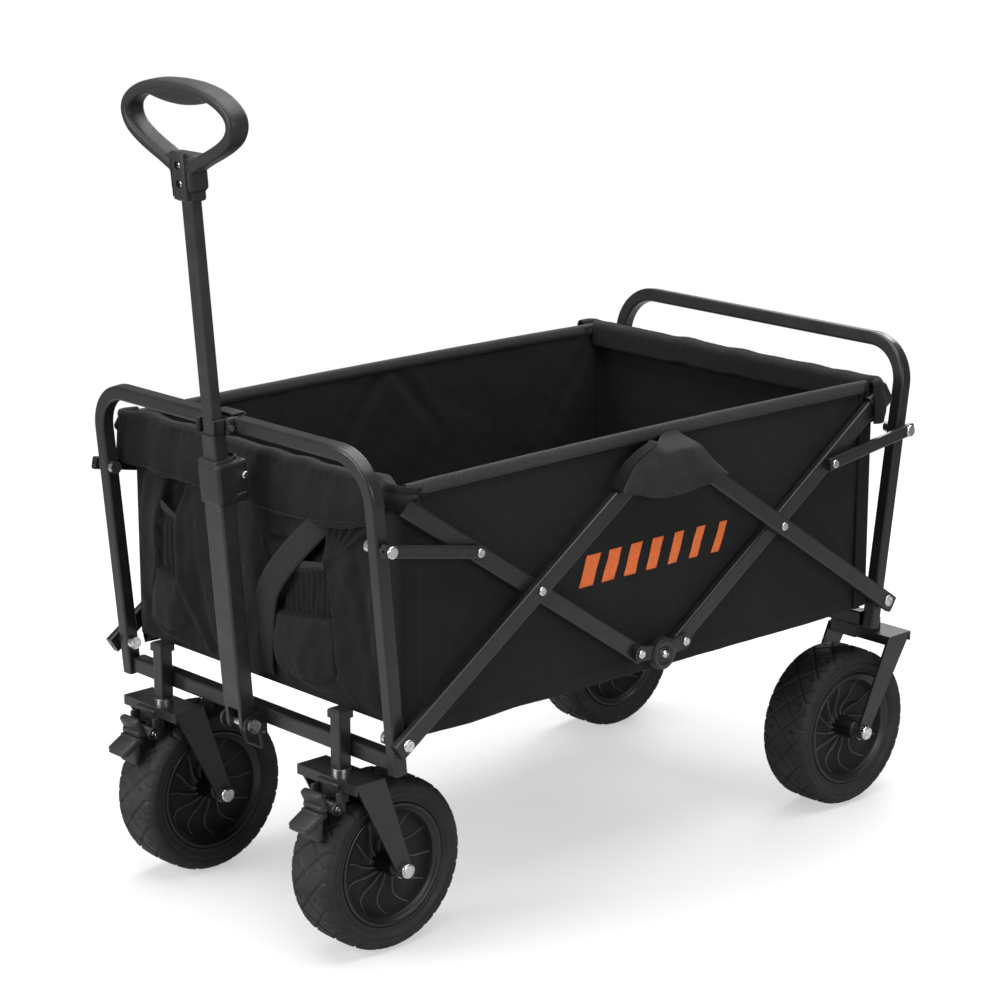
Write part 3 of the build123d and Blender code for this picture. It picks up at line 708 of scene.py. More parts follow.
def cuff(name, x_face, outward, hem, top_line, seed, nose=0.0):
    """Folded-over top band of an end wall, wrapped round the frame at both corners."""
    straight, radius = 227.0, 15.0
    quarter = radius * QUARTER_TURN
    reach = straight + quarter + 9 + nose * 0.7
    s = np.linspace(-reach, reach, 210)
    a = np.abs(s)
    back, y, turn = corner_wrap(s, straight + radius, radius, math.inf)
    nx, ny = np.cos(turn), np.sign(s) * np.sin(turn)
    push = nose * smoothstep(straight - 36, straight - 6, a) * np.where(s > 0, 1.0, 0.92)
    room = np.where(a < straight - 12, 1.0, 1 - 0.55 * smoothstep(straight - 12, straight + 8, a))
    low = np.interp(s, *zip(*hem))
    top_z = np.interp(s, *zip(*top_line))
    rows = []
    body = np.linspace(0, 1, 22)
    for f in body:
        z = low + f * (top_z - 7 - low)
        bow = 2.6 * math.sin(math.pi * min(f * 1.1, 1)) + 1.5 * (1 - f) ** 2
        rows.append((bow, z))
    for ang in np.linspace(0.16, 1, 8) * QUARTER_TURN:
        rows.append((7 * (math.cos(ang) - 1), top_z - 7 + 7 * math.sin(ang)))
    for f in np.linspace(0.2, 1, 5):
        rows.append((-7 - 7 * f, top_z - 0.8 * f))
    for ang in np.linspace(0.2, 1, 5) * QUARTER_TURN:
        rows.append((-14 - 5 * math.sin(ang), top_z - 5.8 + 5 * math.cos(ang)))
    for f in np.linspace(0.15, 1, 8):
        rows.append((-19.0, top_z - 5.8 - 22 * f))
    x, yy, zz = [], [], []
    for i, (d, z) in enumerate(rows):
        inward = d * room if d < 0 else d
        crease = 1.9 * ripple(s, z * 0.7, 58, seed=seed) + 0.5 * ripple(s, z, 20, seed=seed + 1)
        pull = np.sin(s * math.tau / 13 + 3 * ripple(s, z * 0.2, 60, seed=seed + 2))
        pull = 0.7 * pull * smoothstep(0, 1, (z - top_z + 22) / 18)
        d2 = inward + (crease + pull) * (1.0 if i < 22 else 0.5)
        x.append(x_face + outward * (nx * d2 - back + push))
        yy.append(y + ny * d2)
        zz.append(z + 1.0 * ripple(s, s * 0, 48, seed=seed + 3))
    return sheet(name, np.array(x), np.array(yy), np.array(zz), "end", 2.2)


def rim_height(x):
    """Height of the side walls' top edge, crowned a little in the middle."""
    return 515.5 + 3.0 * (1 - (x / 361.0) ** 2)


def side_foot(x):
    """Height of the side walls' bottom edge."""
    return np.interp(x, (-361, 0, 361), (242.5, 247.0, 248.5)) + 1.2 * ripple(x, x * 0, 160, seed=8)


def side_stand(x, z, side):
    """Distance of the side cloth's outer face from the middle plane, mm."""
    foot = side_foot(x)
    rise = (z - foot) / (rim_height(x) - foot)
    swag = 3.2 * np.sin(math.pi * rise) * (0.55 + 0.45 * ripple(x, z, 260, seed=21 + side))
    for x0, z0, x1, z1 in ((-352, 506, -250, 360), (-352, 260, -270, 380), (350, 500, 250, 380),
                           (350, 262, 280, 372), (0, 510, 60, 430), (-20, 510, -90, 420)):
        line = near_line([(x0, z0), (x1, z1)], x, z)
        fade = np.clip(1 - np.hypot(x - x0, z - z0) / 190, 0, 1)
        swag += 2.4 * fade * (np.exp(-(line / 9) ** 2) - 0.6 * np.exp(-((line - 16) / 8) ** 2))
    hem_line = z - foot - 15.5
    swag += 1.6 * (hem_line < 0) + 0.9 * np.exp(-(hem_line / 2.2) ** 2)
    swag += 0.9 * ripple(x * 0.6, z, 70, seed=31 + side) + 0.35 * ripple(x, z, 24, seed=41)
    return SIDE_Y - 1.4 + swag.clip(-2.0, 4.2)


def side_panel(name, side):
    """Long cloth side with a stitched bottom hem, pulled between its corners."""
    x, rise = np.meshgrid(np.linspace(-353, 353, 200), np.linspace(0, 1, 84))
    z = side_foot(x) + rise * (rim_height(x) - side_foot(x))
    y = side * (side_stand(x, z, side) - SIDE_THICK)
    grid = (x[:, ::side], y[:, ::side], z[:, ::side])
    return sheet(name, *grid, "side", SIDE_THICK)


def rim_tape(name, side):
    """Binding folded over the rim: outside, over the top, and inside."""
    x = np.linspace(-349, 353, 190)
    top = rim_height(x)
    wave = 0.5 * ripple(x, x * 0, 60, seed=51 + side)
    section = [(2.2, -11.5), (2.5, -8), (2.6, -4), (2.3, -0.5), (1.2, 1.1), (-0.6, 1.5),
               (-2.4, 0.8), (-3.4, -1.2), (-3.6, -5), (-3.6, -10)]
    grid = [(x, side * (SIDE_Y - 0.4 + d + wave), top + h) for d, h in section]
    arr = np.array([[g[i] for g in grid] for i in range(3)])
    if side < 0:
        arr = arr[:, :, ::-1]
    return sheet(name, arr[0], arr[1], arr[2], "tape_x", 1.0)


def pillow(x0, x1, y0, y1, z, thick, cell):
    """Closed flat pad: two skins that meet at a rounded edge."""
    cols, rows = int((x1 - x0) / cell) + 1, int((y1 - y0) / cell) + 1
    x, y = np.meshgrid(np.linspace(x0, x1, cols), np.linspace(y0, y1, rows))
    edge = np.minimum.reduce([x - x0, x1 - x, y - y0, y1 - y])
    half = thick / 2 * np.sqrt(1 - (1 - np.clip(edge / thick, 0, 1)) ** 2)
    skins = [np.stack([x, y, z + way * half], axis=-1).reshape(-1, 3) for way in (1, -1)]
    faces = grid_faces(rows, cols)
    count = rows * cols
    faces += [tuple(i + count for i in f[::-1]) for f in faces]
    pad = new_mesh("pad", np.vstack(skins) * MM, faces, "floor")
    bm = bmesh.new()
    bm.from_mesh(pad.data)
    bmesh.ops.remove_doubles(bm, verts=bm.verts, dist=0.01 * MM)
    bm.to_mesh(pad.data)
    bm.free()
    return pad


def inflate(obj, pressure, cap):
    """Fill a closed pad by cloth simulation under pressure; no point moves more than cap mm."""
    rest = np.array([v.co[:] for v in obj.data.vertices])
    flat = obj.vertex_groups.new(name="seam")
    middle = rest[:, 2].mean()
    flat.add([int(i) for i in np.flatnonzero(np.abs(rest[:, 2] - middle) < 0.1 * MM)], 1.0, "ADD")
    cloth = modifier(obj, "CLOTH")
    cloth.settings.quality = 4
    cloth.settings.mass = 0.2
    cloth.settings.use_pressure = True
    cloth.settings.uniform_pressure_force = pressure
    cloth.settings.vertex_group_mass = "seam"
    cloth.settings.effector_weights.gravity = 0
    cloth.collision_settings.use_collision = False
    cloth.point_cache.frame_end = PAD_FRAMES
    scene = bpy.context.scene
    for step in range(1, PAD_FRAMES + 1):
        scene.frame_set(step)
    shape = obj.evaluated_get(bpy.context.evaluated_depsgraph_get()).data
    moved = np.array([v.co[:] for v in shape.vertices]) - rest
    obj.modifiers.clear()
    obj.vertex_groups.clear()
    scene.frame_set(1)
    far = np.linalg.norm(moved, axis=1, keepdims=True)
    moved *= cap * MM / np.maximum(far, cap * MM)
    for vert, place in zip(obj.data.vertices, rest + moved):
        vert.co = place
    return obj


def floor_mat(name):
    """Padded floor: four hinged boards, each with two filled channels, on a cloth sheet."""
    boards = []
    seams = np.linspace(-356, 354, 5)
    for x0, x1 in zip(seams[:-1], seams[1:]):
        for y0, y1 in ((-218, -1.5), (1.5, 218)):
            boards.append(pillow(x0 + 1.5, x1 - 1.5, y0, y1, PAD_MID_Z, PAD_THICK, PAD_CELL))
    pads = inflate(merge("pads", boards), PAD_PRESSURE, PAD_CAP)
    modifier(pads, "SUBSURF", levels=1, render_levels=1)
    bake(pads)
    spots = np.array([v.co[:] for v in pads.data.vertices]) / MM
    lump = 0.5 * ripple(spots[:, 0], spots[:, 1], 60, seed=61)
    for vert, d in zip(pads.data.vertices, lump):
        vert.co.z += d * MM
    x, y = np.meshgrid(np.linspace(-357, 355, 120), np.linspace(-219, 219, 80))
    base = sheet("base", x, y, 278.4 + 0.3 * ripple(x, y, 90, seed=62), "floor", 1.6)
    return merge(name, [base, pads])


def under_hem(name):
    """Cloth under the floor, carried down to the bottom hem of both sides."""
    x, y = np.meshgrid(np.linspace(-355, 355, 120), np.linspace(-222, 222, 90))
    sag = 9 * np.cos(y / 222 * math.pi / 2) * np.cos(x / 356 * math.pi / 2) ** 0.5
    drop = 16 * smoothstep(205, 222, np.abs(y))
    z = 266 - 0.4 * sag - drop * 0.9 + 0.8 * ripple(x, y, 80, seed=71)
    return sheet(name, x[:, ::-1], y[:, ::-1], z[:, ::-1], "floor", 1.6)


def pocket_extras():
    """Webbing loop on the near pocket, a strap on the far one, bindings and stitches."""
    parts = []
    hang = [(112, 466), (105, 457), (96, 446), (70.5, 417), (45.6, 387), (32.8, 363),
            (26.6, 327), (19, 290), (15, 274)]
    depth = (355, 359, 367, 377, 380, 380, 377, 371, 365)
    parts.append(ribbon("strap", [(x, *spot) for x, spot in zip(depth, hang)], (1, 0.15, 0.1),
                        30, "strap", 1.8, 60,
                        (0.8, 0.9, 0.95, 0.97, 1.0, 1.0, 0.84, 0.7, 0.62)))
    for line, width, look, thick in (
            ([(373, 69, 405), (374, 92, 411), (373, 122, 415)], 7, "strap", 1.6),
            ([(369, -164, 426), (370, -146, 418), (369, -128, 411)], 8, "strap", 1.6),
            ([(368, -131, 412), (371, -127, 380), (371, -126, 350)], 5, "end", 1.5)):
        parts.append(ribbon("binding", line, (1, 0, 0), width, look, thick, 30))
    for line in ([(377.6, 33, 344), (379, 82, 351), (378, 136, 357)],
                 [(368.8, -196, 462), (368.8, -100, 459), (368.8, 0, 456), (368.8, 90, 458),
                  (368.8, 170, 470)]):
        parts.append(stitches("stitch", line, (1, 0, 0)))
    return parts


def stripes(name):
    """Plain slanted bars printed on the near side."""
    parts = []
    slant = 12.0
    for n in range(7):
        u, v = np.meshgrid(np.linspace(0, 1, 10), np.linspace(0, 1, 14))
        x = 105.0 - 34.0 * n - u * (21.0 - 1.6 * n) + slant * (0.5 - v)
        z = 361.0 + 34.0 * v
        y = side_stand(x, z, 1) + 0.45
        parts.append(sheet("bar", x[:, ::-1], y[:, ::-1], z[:, ::-1], "orange", 0.3))
    return merge(name, parts)


def build_tub():
    """The cloth tub: end walls, cuffs, sides, rim tapes, floor and print."""
    def front_masks(regions):
        # the pocket mouths get the near-black cloth, as painted shade inside the openings
        mouth = np.maximum(regions["near"][0], regions["far"][0])
        net = np.maximum(regions["near"][1], regions["far"][1])
        return (("hollow", mouth), ("mesh", net * (1 - mouth)))

    def rear_relief(y, z):
        rise = np.clip((z - REAR_FOOT) / (WALL_TOP - REAR_FOOT), 0, 1)
        out = 5 * np.sin(math.pi * rise) * np.cos(y / SIDE_Y * 1.5)
        return out + 1.8 * ripple(y, z * 0.5, 90, seed=14) + 0.6 * ripple(y, z, 30, seed=15), None

    front = end_wall("front_wall", FRONT_X, 1, FRONT_FOOT, front_relief, "end", front_masks)
    hem_front = ((-268, 474), (-228, 466), (-205, 458), (-164, 456), (-100, 455), (-11, 450.5),
                 (47, 452), (100, 453), (140, 457), (177, 466), (190, 477), (205, 491),
                 (218, 497), (232, 499), (246, 503), (268, 513))
    hem_rear = ((-260, 470), (-205, 458), (0, 452), (205, 458), (232, 470), (260, 472))
    top_front = ((-260, 517), (-225, 520), (-150, 517.5), (150, 517.5), (196, 524), (232, 523),
                 (260, 518))
    band = cuff("front_cuff", FRONT_X + 3.2, 1, hem_front, top_front, 81, 12.5)
    front_all = merge("tub_front_cloth", [front] + pocket_extras())
    install([front_all, band], "tub_front", "tub_cloth", "tub_front_wall", "tub_front_pockets")
    rear = end_wall("tub_rear_cloth", REAR_X, -1, REAR_FOOT, rear_relief, "end")
    top_rear = ((-260, 519), (260, 519))
    rear_band = cuff("rear_cuff", REAR_X - 3.2, -1, hem_rear, top_rear, 91)
    install([rear, rear_band], "tub_rear", "tub_cloth", "tub_rear_wall")
    panels, tapes = [], []
    for side, tag in ((1, "left"), (-1, "right")):
        panels.append(side_panel(f"side_cloth_{tag}", side))
        tapes.append(rim_tape(f"rim_tape_{tag}", side))
    floor = [floor_mat("floor_mat"), under_hem("under_cloth"), stripes("side_print")]
    install(panels, "tub_front", "tub_cloth", "tub_side_panels")
    install(tapes, "tub_front", "webbing")
    install(floor, "tub_front", "tub_cloth", "tub_floor")
    for piece in panels + tapes + floor:
        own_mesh(piece)


# ------------------------------------------------------------------ hard detail

LEAN = math.radians(4.7)
HANDLE_FOOT = Vector((392.5, 0, 221.0))


def on_handle(y, front, high):
    """Point in mm on the handle: y across, `front` ahead of its axis, `high` above its hinge."""
    return HANDLE_FOOT + Vector((math.cos(LEAN) * front + math.sin(LEAN) * high, y,
                                 math.cos(LEAN) * high - math.sin(LEAN) * front))


def rounded_block(name, place, size, radius, look, segments=3):
    """Block with softened edges; place maps local mm to the part's mm."""
    bm = bmesh.new()
    bmesh.ops.create_cube(bm, size=1)
    bmesh.ops.scale(bm, vec=size, verts=bm.verts)
    bmesh.ops.bevel(bm, geom=bm.edges[:] + bm.verts[:], offset=radius, segments=segments,
                    affect="EDGES", profile=0.5)
    verts = [place @ v.co * MM for v in bm.verts]
    bm.verts.index_update()
    faces = [[v.index for v in f.verts] for f in bm.faces]
    bm.free()
    return new_mesh(name, verts, faces, look)


def handle_place(y, front, high):
    """Place with axes across, to the front and up along the handle. It mirrors its shapes."""
    at = on_handle(y, front, high)
    cols = (Vector((0, 1, 0)), Vector((math.cos(LEAN), 0, -math.sin(LEAN))),
            Vector((math.sin(LEAN), 0, math.cos(LEAN))))
    return Matrix.Translation(at) @ Matrix(cols).transposed().to_4x4()


def disc(name, place, profile, look, turns=32):
    """Turned part about local +Z from (radius, height) points in mm."""
    verts, faces = [], []
    for r, h in profile:
        for k in range(turns):
            a = math.tau * k / turns
            verts.append(place @ Vector((r * math.cos(a), r * math.sin(a), h)) * MM)
    faces = [f[::-1] for f in grid_faces(len(profile), turns, False, True)]
    last = turns * (len(profile) - 1)
    faces += [list(range(turns))[::-1], list(range(last, last + turns))]
    return new_mesh(name, verts, faces, look)


def fuse(obj, voxel, relax):
    """Melt overlapping shapes into one moulded skin."""
    modifier(obj, "REMESH", mode="VOXEL", voxel_size=voxel * MM, use_smooth_shade=True)
    modifier(obj, "SMOOTH", factor=0.5, iterations=relax)
    bake(obj)
    for poly in obj.data.polygons:
        poly.use_smooth = True
    return obj


def cut(obj, tools):
    """Subtract the tools from obj and delete them."""
    for tool in tools:
        mod = modifier(obj, "BOOLEAN", operation="DIFFERENCE", solver="EXACT")
        mod.object = tool
    bake(obj)
    for tool in tools:
        bpy.data.objects.remove(tool)
    return obj


GRIP_PATH = [(0, 684), (30, 682.6), (56, 677.6), (74, 669.5), (84.5, 660), (86.5, 649),
             (80, 637.5), (66, 627.5), (48, 618.5), (31, 611), (15, 603)]


def tube_along(name, centres, faces_way, half_in, half_out, look, closed=False, power=2.6):
    """Sweep of a superellipse: half_in within the path's plane, half_out along faces_way."""
    line = np.array(centres, float)
    way = np.gradient(line, axis=0)
    if closed:
        way = np.roll(line, -1, axis=0) - np.roll(line, 1, axis=0)
    way /= np.linalg.norm(way, axis=1, keepdims=True)
    out = np.array(faces_way, float)
    side = np.cross(way, out)
    side /= np.linalg.norm(side, axis=1, keepdims=True)
    turns = 28
    a = np.linspace(0, math.tau, turns, endpoint=False)
    c = np.sign(np.cos(a)) * np.abs(np.cos(a)) ** (2 / power)
    s = np.sign(np.sin(a)) * np.abs(np.sin(a)) ** (2 / power)
    wide = np.broadcast_to(half_in, (len(line),))
    deep = np.broadcast_to(half_out, (len(line),))
    pts = (line[:, None] + side[:, None] * (wide[:, None] * c)[..., None]
           + out[None, None] * (deep[:, None] * s)[..., None])
    faces = grid_faces(len(line), turns, closed, True)
    if not closed:
        faces += [tuple(range(turns))[::-1], tuple(range(turns * (len(line) - 1),
                                                         turns * len(line)))]
    obj = new_mesh(name, pts.reshape(-1, 3) * MM, faces, look)
    return obj


GRIP_SCREWS = (586, 605)  # heights above the hinge, mm


def screw_place(front, high):
    """Place whose local +Z looks out of the handle's front."""
    return Matrix.Translation(on_handle(0, front, high)) @ Matrix.Rotation(
        QUARTER_TURN + LEAN, 4, "Y")


def build_grip():
    """Loop grip with a palm swell, a neck, a riveted front plate and two cross-head screws."""
    half = curve_points(GRIP_PATH, 70)
    loop = [(y, h) for y, h in half] + [(-y, h) for y, h in half[::-1][:-1]]
    centres = [on_handle(y, 0.6 * math.sin(abs(y) / 90 * 3), h) for y, h in loop[:-1]]
    front = np.array([math.cos(LEAN), 0, -math.sin(LEAN)])
    ring = tube_along("grip", [tuple(c) for c in centres], front, 6.6, 12.2, "grip", True, 3.6)
    across = np.linspace(-60, 60, 40)
    palm = tube_along("palm", [tuple(on_handle(y, 1.5, 677.5 - 1.2 * (1 - (y / 62) ** 2)))
                               for y in across], front,
                      [2 + 9.6 * (1 - (y / 61) ** 2) for y in across], 9.0, "grip", power=2.2)
    neck = rounded_block("neck", handle_place(0, 0, 591), (34, 24.6, 27), 3.2, "grip")
    throat = rounded_block("throat", handle_place(0, 0, 608), (46, 23, 16), 5, "grip")
    foot = rounded_block("foot", handle_place(0, 0, 575), (28, 20, 17), 2.5, "grip")
    body = fuse(merge("grip_body", [ring, palm, neck, throat, foot]), 1.5, 3)
    plate = rounded_block("plate", handle_place(0, 11.4, 594), (23, 4.6, 50), 2.0, "grip")
    drills = [disc("drill", screw_place(11.2, high), [(4.4, -2), (4.4, 12)], "grip")
              for high in GRIP_SCREWS]
    plate = cut(plate, drills)
    seams = [rounded_block("seam", handle_place(y, 12.0, 592), (1.1, 2.0, 40), 0.4, "rim")
             for y in (-12.6, 12.6)]
    shell = merge("handle_grip_made", [body, plate] + seams)
    install([shell], "handle_upper", "grip_black", "handle_grip")
    heads = []
    for high in GRIP_SCREWS:
        place = screw_place(10.9, high)
        head = disc("head", place, [(3.7, -0.5), (3.7, 0.9), (3.0, 1.7), (1.5, 2.1)], "chrome", 24)
        slots = [rounded_block("slot", place @ Matrix.Rotation(a, 4, "Z")
                               @ Matrix.Translation((0, 0, 2.0)), (4.4, 1.0, 1.6), 0.2, "chrome", 1)
                 for a in (0.5, 0.5 + QUARTER_TURN)]
        heads.append(cut(head, slots))
    screws = merge("grip_screws_made", heads)
    install([screws], "handle_upper", "bright_fastener", "grip_screws")


def build_collar():
    """Moulded collar with a stepped mouth, a lock housing behind and a small finger ridge."""
    body = rounded_block("collar", handle_place(0, -7.3, 268.5), (35.5, 39.5, 45.5), 4.0, "plastic", 4)
    lip = rounded_block("lip", handle_place(0, 0, 291.5), (30, 24, 7), 1.6, "plastic")
    hollow = rounded_block("hollow", handle_place(0, 0, 268), (22.6, 17.6, 80), 1.2, "plastic")
    body = cut(fuse(merge("collar", [body, lip]), 0.8, 4), [hollow])
    arch = [tuple(on_handle(11 * math.sin(t), -13 - 9 * math.cos(t) * 0.9, 292 + 1.5))
            for t in np.linspace(-1.75, 1.75, 30)]
    up = np.array([math.sin(LEAN), 0, math.cos(LEAN)])
    ridge = tube_along("ridge", arch, up, 1.3, 1.9, "plastic")
    shoulder = rounded_block("shoulder", handle_place(0, -16.6, 254), (37.5, 15, 5), 1.6, "plastic")
    piece = merge("handle_collar_made", [body, ridge, shoulder])
    for poly in piece.data.polygons:
        poly.use_smooth = True
    install([piece], "handle_lower", "moulded_black", "handle_collar")


def build_clip():
    """Spring clip behind the handle: a saddle over the hoop's bar and two gripping arms."""
    def block(x, y, z, size, radius):
        return rounded_block("clip", Matrix.Translation((x, y, z)), size, radius, "sleeve")

    parts = [block(390.6, 0, 549.5, (7.0, 32, 23), 1.8), block(398, 0, 561.2, (17, 32, 3.6), 1.4),
             block(398, 0, 540.2, (17, 32, 3.6), 1.4),
             block(409, 17.6, 550.5, (14, 6.8, 19), 2.2), block(407, -14.6, 550.5, (12, 4, 17), 1.6)]
    for side in (1, -1):
        arm = [(400, side * 13.8, 550), (410, side * 13.9, 550), (419, side * 13.0, 550),
               (426, side * 12.6, 550), (430, side * 14.2, 550)]
        line = curve_points(arm, 22)
        parts.append(tube_along("arm", [tuple(p) for p in line], (0, 0, 1), 1.2, 8.0, "sleeve",
                                power=5))
    piece = merge("handle_clip_made", parts)
    install([piece], "front_frame", "moulded_black", "handle_clip")


def build_corners():
    """Black sleeves on the tips of the inner bars, tucked under the cloth at the corners. The front pair
    is painted with the near-black cloth, as painted shadow under the corner flap.
    """
    for end, sx, size, back_off in (("front", 1, (12, 11.0, 17), 7), ("rear", -1, (33, 14.5, 30), 14)):
        lo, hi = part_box(f"{end}_corner_hooks")
        tip_x = (hi[0] if sx > 0 else lo[0]) / MM - sx * back_off
        tip_z = hi[2] / MM - 2 - back_off
        parts = []
        down = Vector((-sx * 0.829, 0, -0.559))
        back = down.cross(Vector((0, 1, 0)))
        turn = Matrix((down, Vector((0, 1, 0)), back)).transposed().to_4x4()
        # front sleeves: painted shadow from the cuff's flap, using the near-black cloth
        look = "hollow" if end == "front" else "sleeve"
        for side in (1, -1):
            place = Matrix.Translation((tip_x, side * 234.6, tip_z)) @ turn
            bag = rounded_block("bag", place, size, 5.4, look, 5)
            lip = []
            for t in np.linspace(0, math.tau, 40, endpoint=False):
                c, s = math.cos(t), math.sin(t)
                lip.append(tuple(place @ Vector((size[0] / 2 - 2.4,
                                                 (size[1] / 2 + 0.2) * np.sign(c) * abs(c) ** 0.6,
                                                 (size[2] / 2 + 0.2) * np.sign(s) * abs(s) ** 0.6))))
            parts += [bag, tube_along("lip", lip, tuple(down), 0.7, 1.6, look, True)]
            if end == "rear":
                keeper = [(sx * 351, side * 229.6, 511), (sx * 356, side * 238.0, 509),
                          (sx * 359, side * 243.2, 502), (sx * 361, side * 243.0, 494)]
                parts.append(ribbon("keeper", keeper, (0, side, 0.3), 9, "tape_x", 1.2, 24))
        piece = merge(f"{end}_corner_sleeves", parts)
        install([piece], f"{end}_inner", "moulded_black", f"{end}_corner_hooks")


def build_hubs():
    """Washer and domed bolt in the middle of each lower hub plate."""
    lo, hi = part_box("lower_hubs")
    outer, mid_z = hi[1] / MM, (lo[2] + hi[2]) / 2 / MM
    washers, bolts = [], []
    for side in (1, -1):
        place = turn_onto_y(0, side * (outer - 0.3), mid_z, -side)
        washers.append(disc("washer", place, [(16.8, 0), (17.0, 0.8), (16.2, 1.4), (10.6, 1.5),
                                              (10.0, 0.8), (8.2, 0.8), (7.8, 1.8), (5.0, 2.0)],
                            "frame", 48))
        bolts.append(disc("bolt", place, [(4.4, 1.6), (4.4, 2.6), (3.7, 3.6), (2.2, 4.3),
                                          (0.8, 4.5)], "chrome", 28))
    for name, parts, slot in (("lower_hub_washers", washers, "frame_tube"),
                              ("lower_hub_bolts", bolts, "bright_fastener")):
        install([merge(name, parts)], "lower_centre", slot)


def build_tabs():
    """Cloth covers sewn to the rim and draped over the top of the scissor, one each side."""
    parts = []
    top = [(-87, 459.5), (-75, 470), (-62, 481), (-43, 500), (-31, 512.5), (-14, 512), (12, 508),
           (32, 503), (46, 496.7), (57, 490), (66, 480), (76, 466)]
    low = [(-87, 458.5), (-62, 452.8), (-31, 448.2), (6, 447.2), (30, 451.5), (47, 457.3),
           (76, 464.5)]
    cols, rows = 84, 44
    x = np.linspace(-87, 76, cols)
    tz, bz = np.interp(x, *zip(*top)), np.interp(x, *zip(*low))
    v = np.linspace(0, 1, rows)[:, None]
    for side in (1, -1):
        xx = np.broadcast_to(x, (rows, cols))
        z = bz + v * (tz - bz)
        stand = 253.6 + 3.0 * np.sin(math.pi * v) * np.ones_like(xx)
        for sx in (1, -1):
            bar = near_line([(sx * 34.6, 481.9), (sx * 94, 441)], xx, z)
            stand = stand + 1.8 * np.exp(-(bar / 11) ** 2)
        stand = stand + 0.9 * ripple(xx, z, 34, seed=111) + 1.2 * np.exp(
            -(np.minimum(z - bz, 40) / 3.0) ** 2)
        apex = smoothstep(496, 512, z) * smoothstep(34, -14, xx)
        y = side * (stand * (1 - apex) + 230.5 * apex)
        grid = (xx[:, ::-side], y[:, ::-side], z[:, ::-side])
        parts.append(sheet("tab", *grid, "tab", 2.2))
        for sx, start in ((1, 8), (-1, 32)):
            line = [p for p in top if sx * p[0] >= start]
            ex, ez = curve_points([(a, 0, b) for a, b in line], 30)[:, ::2].T
            edge_y = np.interp(ex, x, np.abs(y[-1])) - 0.6
            f = np.linspace(0, 1, 9)[:, None]
            spread = 1.6 * f * smoothstep(start, start + 22, sx * ex)
            ex, ez = ex + sx * spread, ez + spread - 0.8
            ey = side * (edge_y - np.minimum(edge_y - 229.0, 13.0) * f ** 0.8)
            flip = side * sx
            # the skirt under each tab's top edge is painted near-black, as painted shade
            parts.append(sheet("skirt", ex[:, ::flip], ey[:, ::flip], ez[:, ::flip], "hollow", 1.6))
        ys = [float(np.interp(a, x, np.abs(y[3]))) for a, _ in low[1:-1]]
        line = [(a, side * (yy + 0.4), b + 4.5) for (a, b), yy in zip(low[1:-1], ys)]
        parts.append(stitches("thread", line, (0, side, 0), "tape_x", 4.5, 0.4, 0.4))
    piece = merge("mid_tab_cloth", parts)
    install([piece], "upper_centre", "webbing", "mid_tabs")


BRAKE_Y, PIVOT_X, PIVOT_Z = 158.0, 408, 175


def build_brakes():
    """Foot brakes: a bracket with two eyes, a rocker with an upper pad and a lower toe pad."""
    for side, tag in ((1, "left"), (-1, "right")):
        y = side * BRAKE_Y

        def block(x, dy, z, size, tilt=0.0, r=1.4):
            place = Matrix.Translation((x, y + dy, z)) @ Matrix.Rotation(
                math.radians(tilt), 4, "Y")
            return rounded_block("brake", place, size, r, "plastic")

        base = [block(395.5, 0, 190, (6.5, 44, 21)), block(399, 0, 197, (11, 34, 5))]
        for dy in (-20, 20):
            base.append(block(402.5, dy, 181, (12, 4.2, 22), 0, 1.6))
            base.append(disc("eye", turn_onto_y(PIVOT_X, y + dy - 2.2, PIVOT_Z),
                             [(6.4, 0), (7.0, 0.6), (7.0, 3.8), (6.4, 4.4)], "plastic"))
        piece = merge(f"brake_bracket_{tag}", base)
        install([piece], f"caster_{tag}", "moulded_black", f"caster_{tag}_brake_base")
        pedal = [disc("barrel", turn_onto_y(PIVOT_X, y - 17.6, PIVOT_Z),
                      [(5.6, 0), (6.2, 0.6), (6.2, 34.6), (5.6, 35.2)], "plastic"),
                 block(416, 0, 176, (18, 30, 8), 0, 2.5),
                 block(421.5, 0, 184.5, (9, 31, 18), 26, 3.4),
                 block(431, 0, 163, (29, 31, 9), 30, 3.2),
                 block(441, 0, 157.5, (10, 27, 5), 52, 2.0),
                 block(424.6, 0, 157, (8, 28, 32), 0, 2.2),
                 block(419, 0, 168, (12, 24, 12), 20, 2.2)]
        for k in range(4):
            pedal.append(block(427 + 4.6 * k, 0, 169.6 - 2.7 * k, (1.6, 25, 1.6), 30, 0.5))
        for k in range(3):
            pedal.append(block(424.6 + 1.9 * k - 3, 0, 191.4 - 4.2 * k + 1.0, (1.4, 24, 1.4),
                               26, 0.4))
        steel = disc("pin", turn_onto_y(PIVOT_X, y - 23, PIVOT_Z),
                     [(1.8, 0), (3.0, 0.7), (3.0, 45.3), (1.8, 46)], "chrome", 20)
        piece = merge(f"brake_pedal_{tag}", pedal + [steel])
        install([piece], f"brake_{tag}", "moulded_black", f"caster_{tag}_brake_pedal")


# ------------------------------------------------------------------ stage


def area_light(name, at, size, power, target=(0, 0, 0.3)):
    """Rectangular soft light; at, size and target in metres, power in watts."""
    data = bpy.data.lights.new(name, "AREA")
    data.shape = "RECTANGLE"
    data.size, data.size_y = size
    data.energy = power
    obj = bpy.data.objects.new(name, data)
    bpy.context.scene.collection.objects.link(obj)
    obj.location = at
    aim = Vector(target) - Vector(at)
    obj.rotation_euler = aim.to_track_quat("-Z", "Y").to_euler()


# camera: where it stands in metres, and the ways its right side and its back point
CAMERA_AT = (2.2222, 2.3872, 1.2609)
CAMERA_RIGHT = (-0.73435, 0.67876, 0)
CAMERA_BACK = (0.65600, 0.70973, 0.25676)
LENS_MM, SENSOR_MM = 106.7, 36
AMBIENT, BACKDROP = 0.2, 1.0  # what lights the wagon, and what the camera sees
FLOOR_NEAR, FLOOR_FAR, FLOOR_SOLID = 1.0, 2.6, 0.5  # the floor fades out between the first two


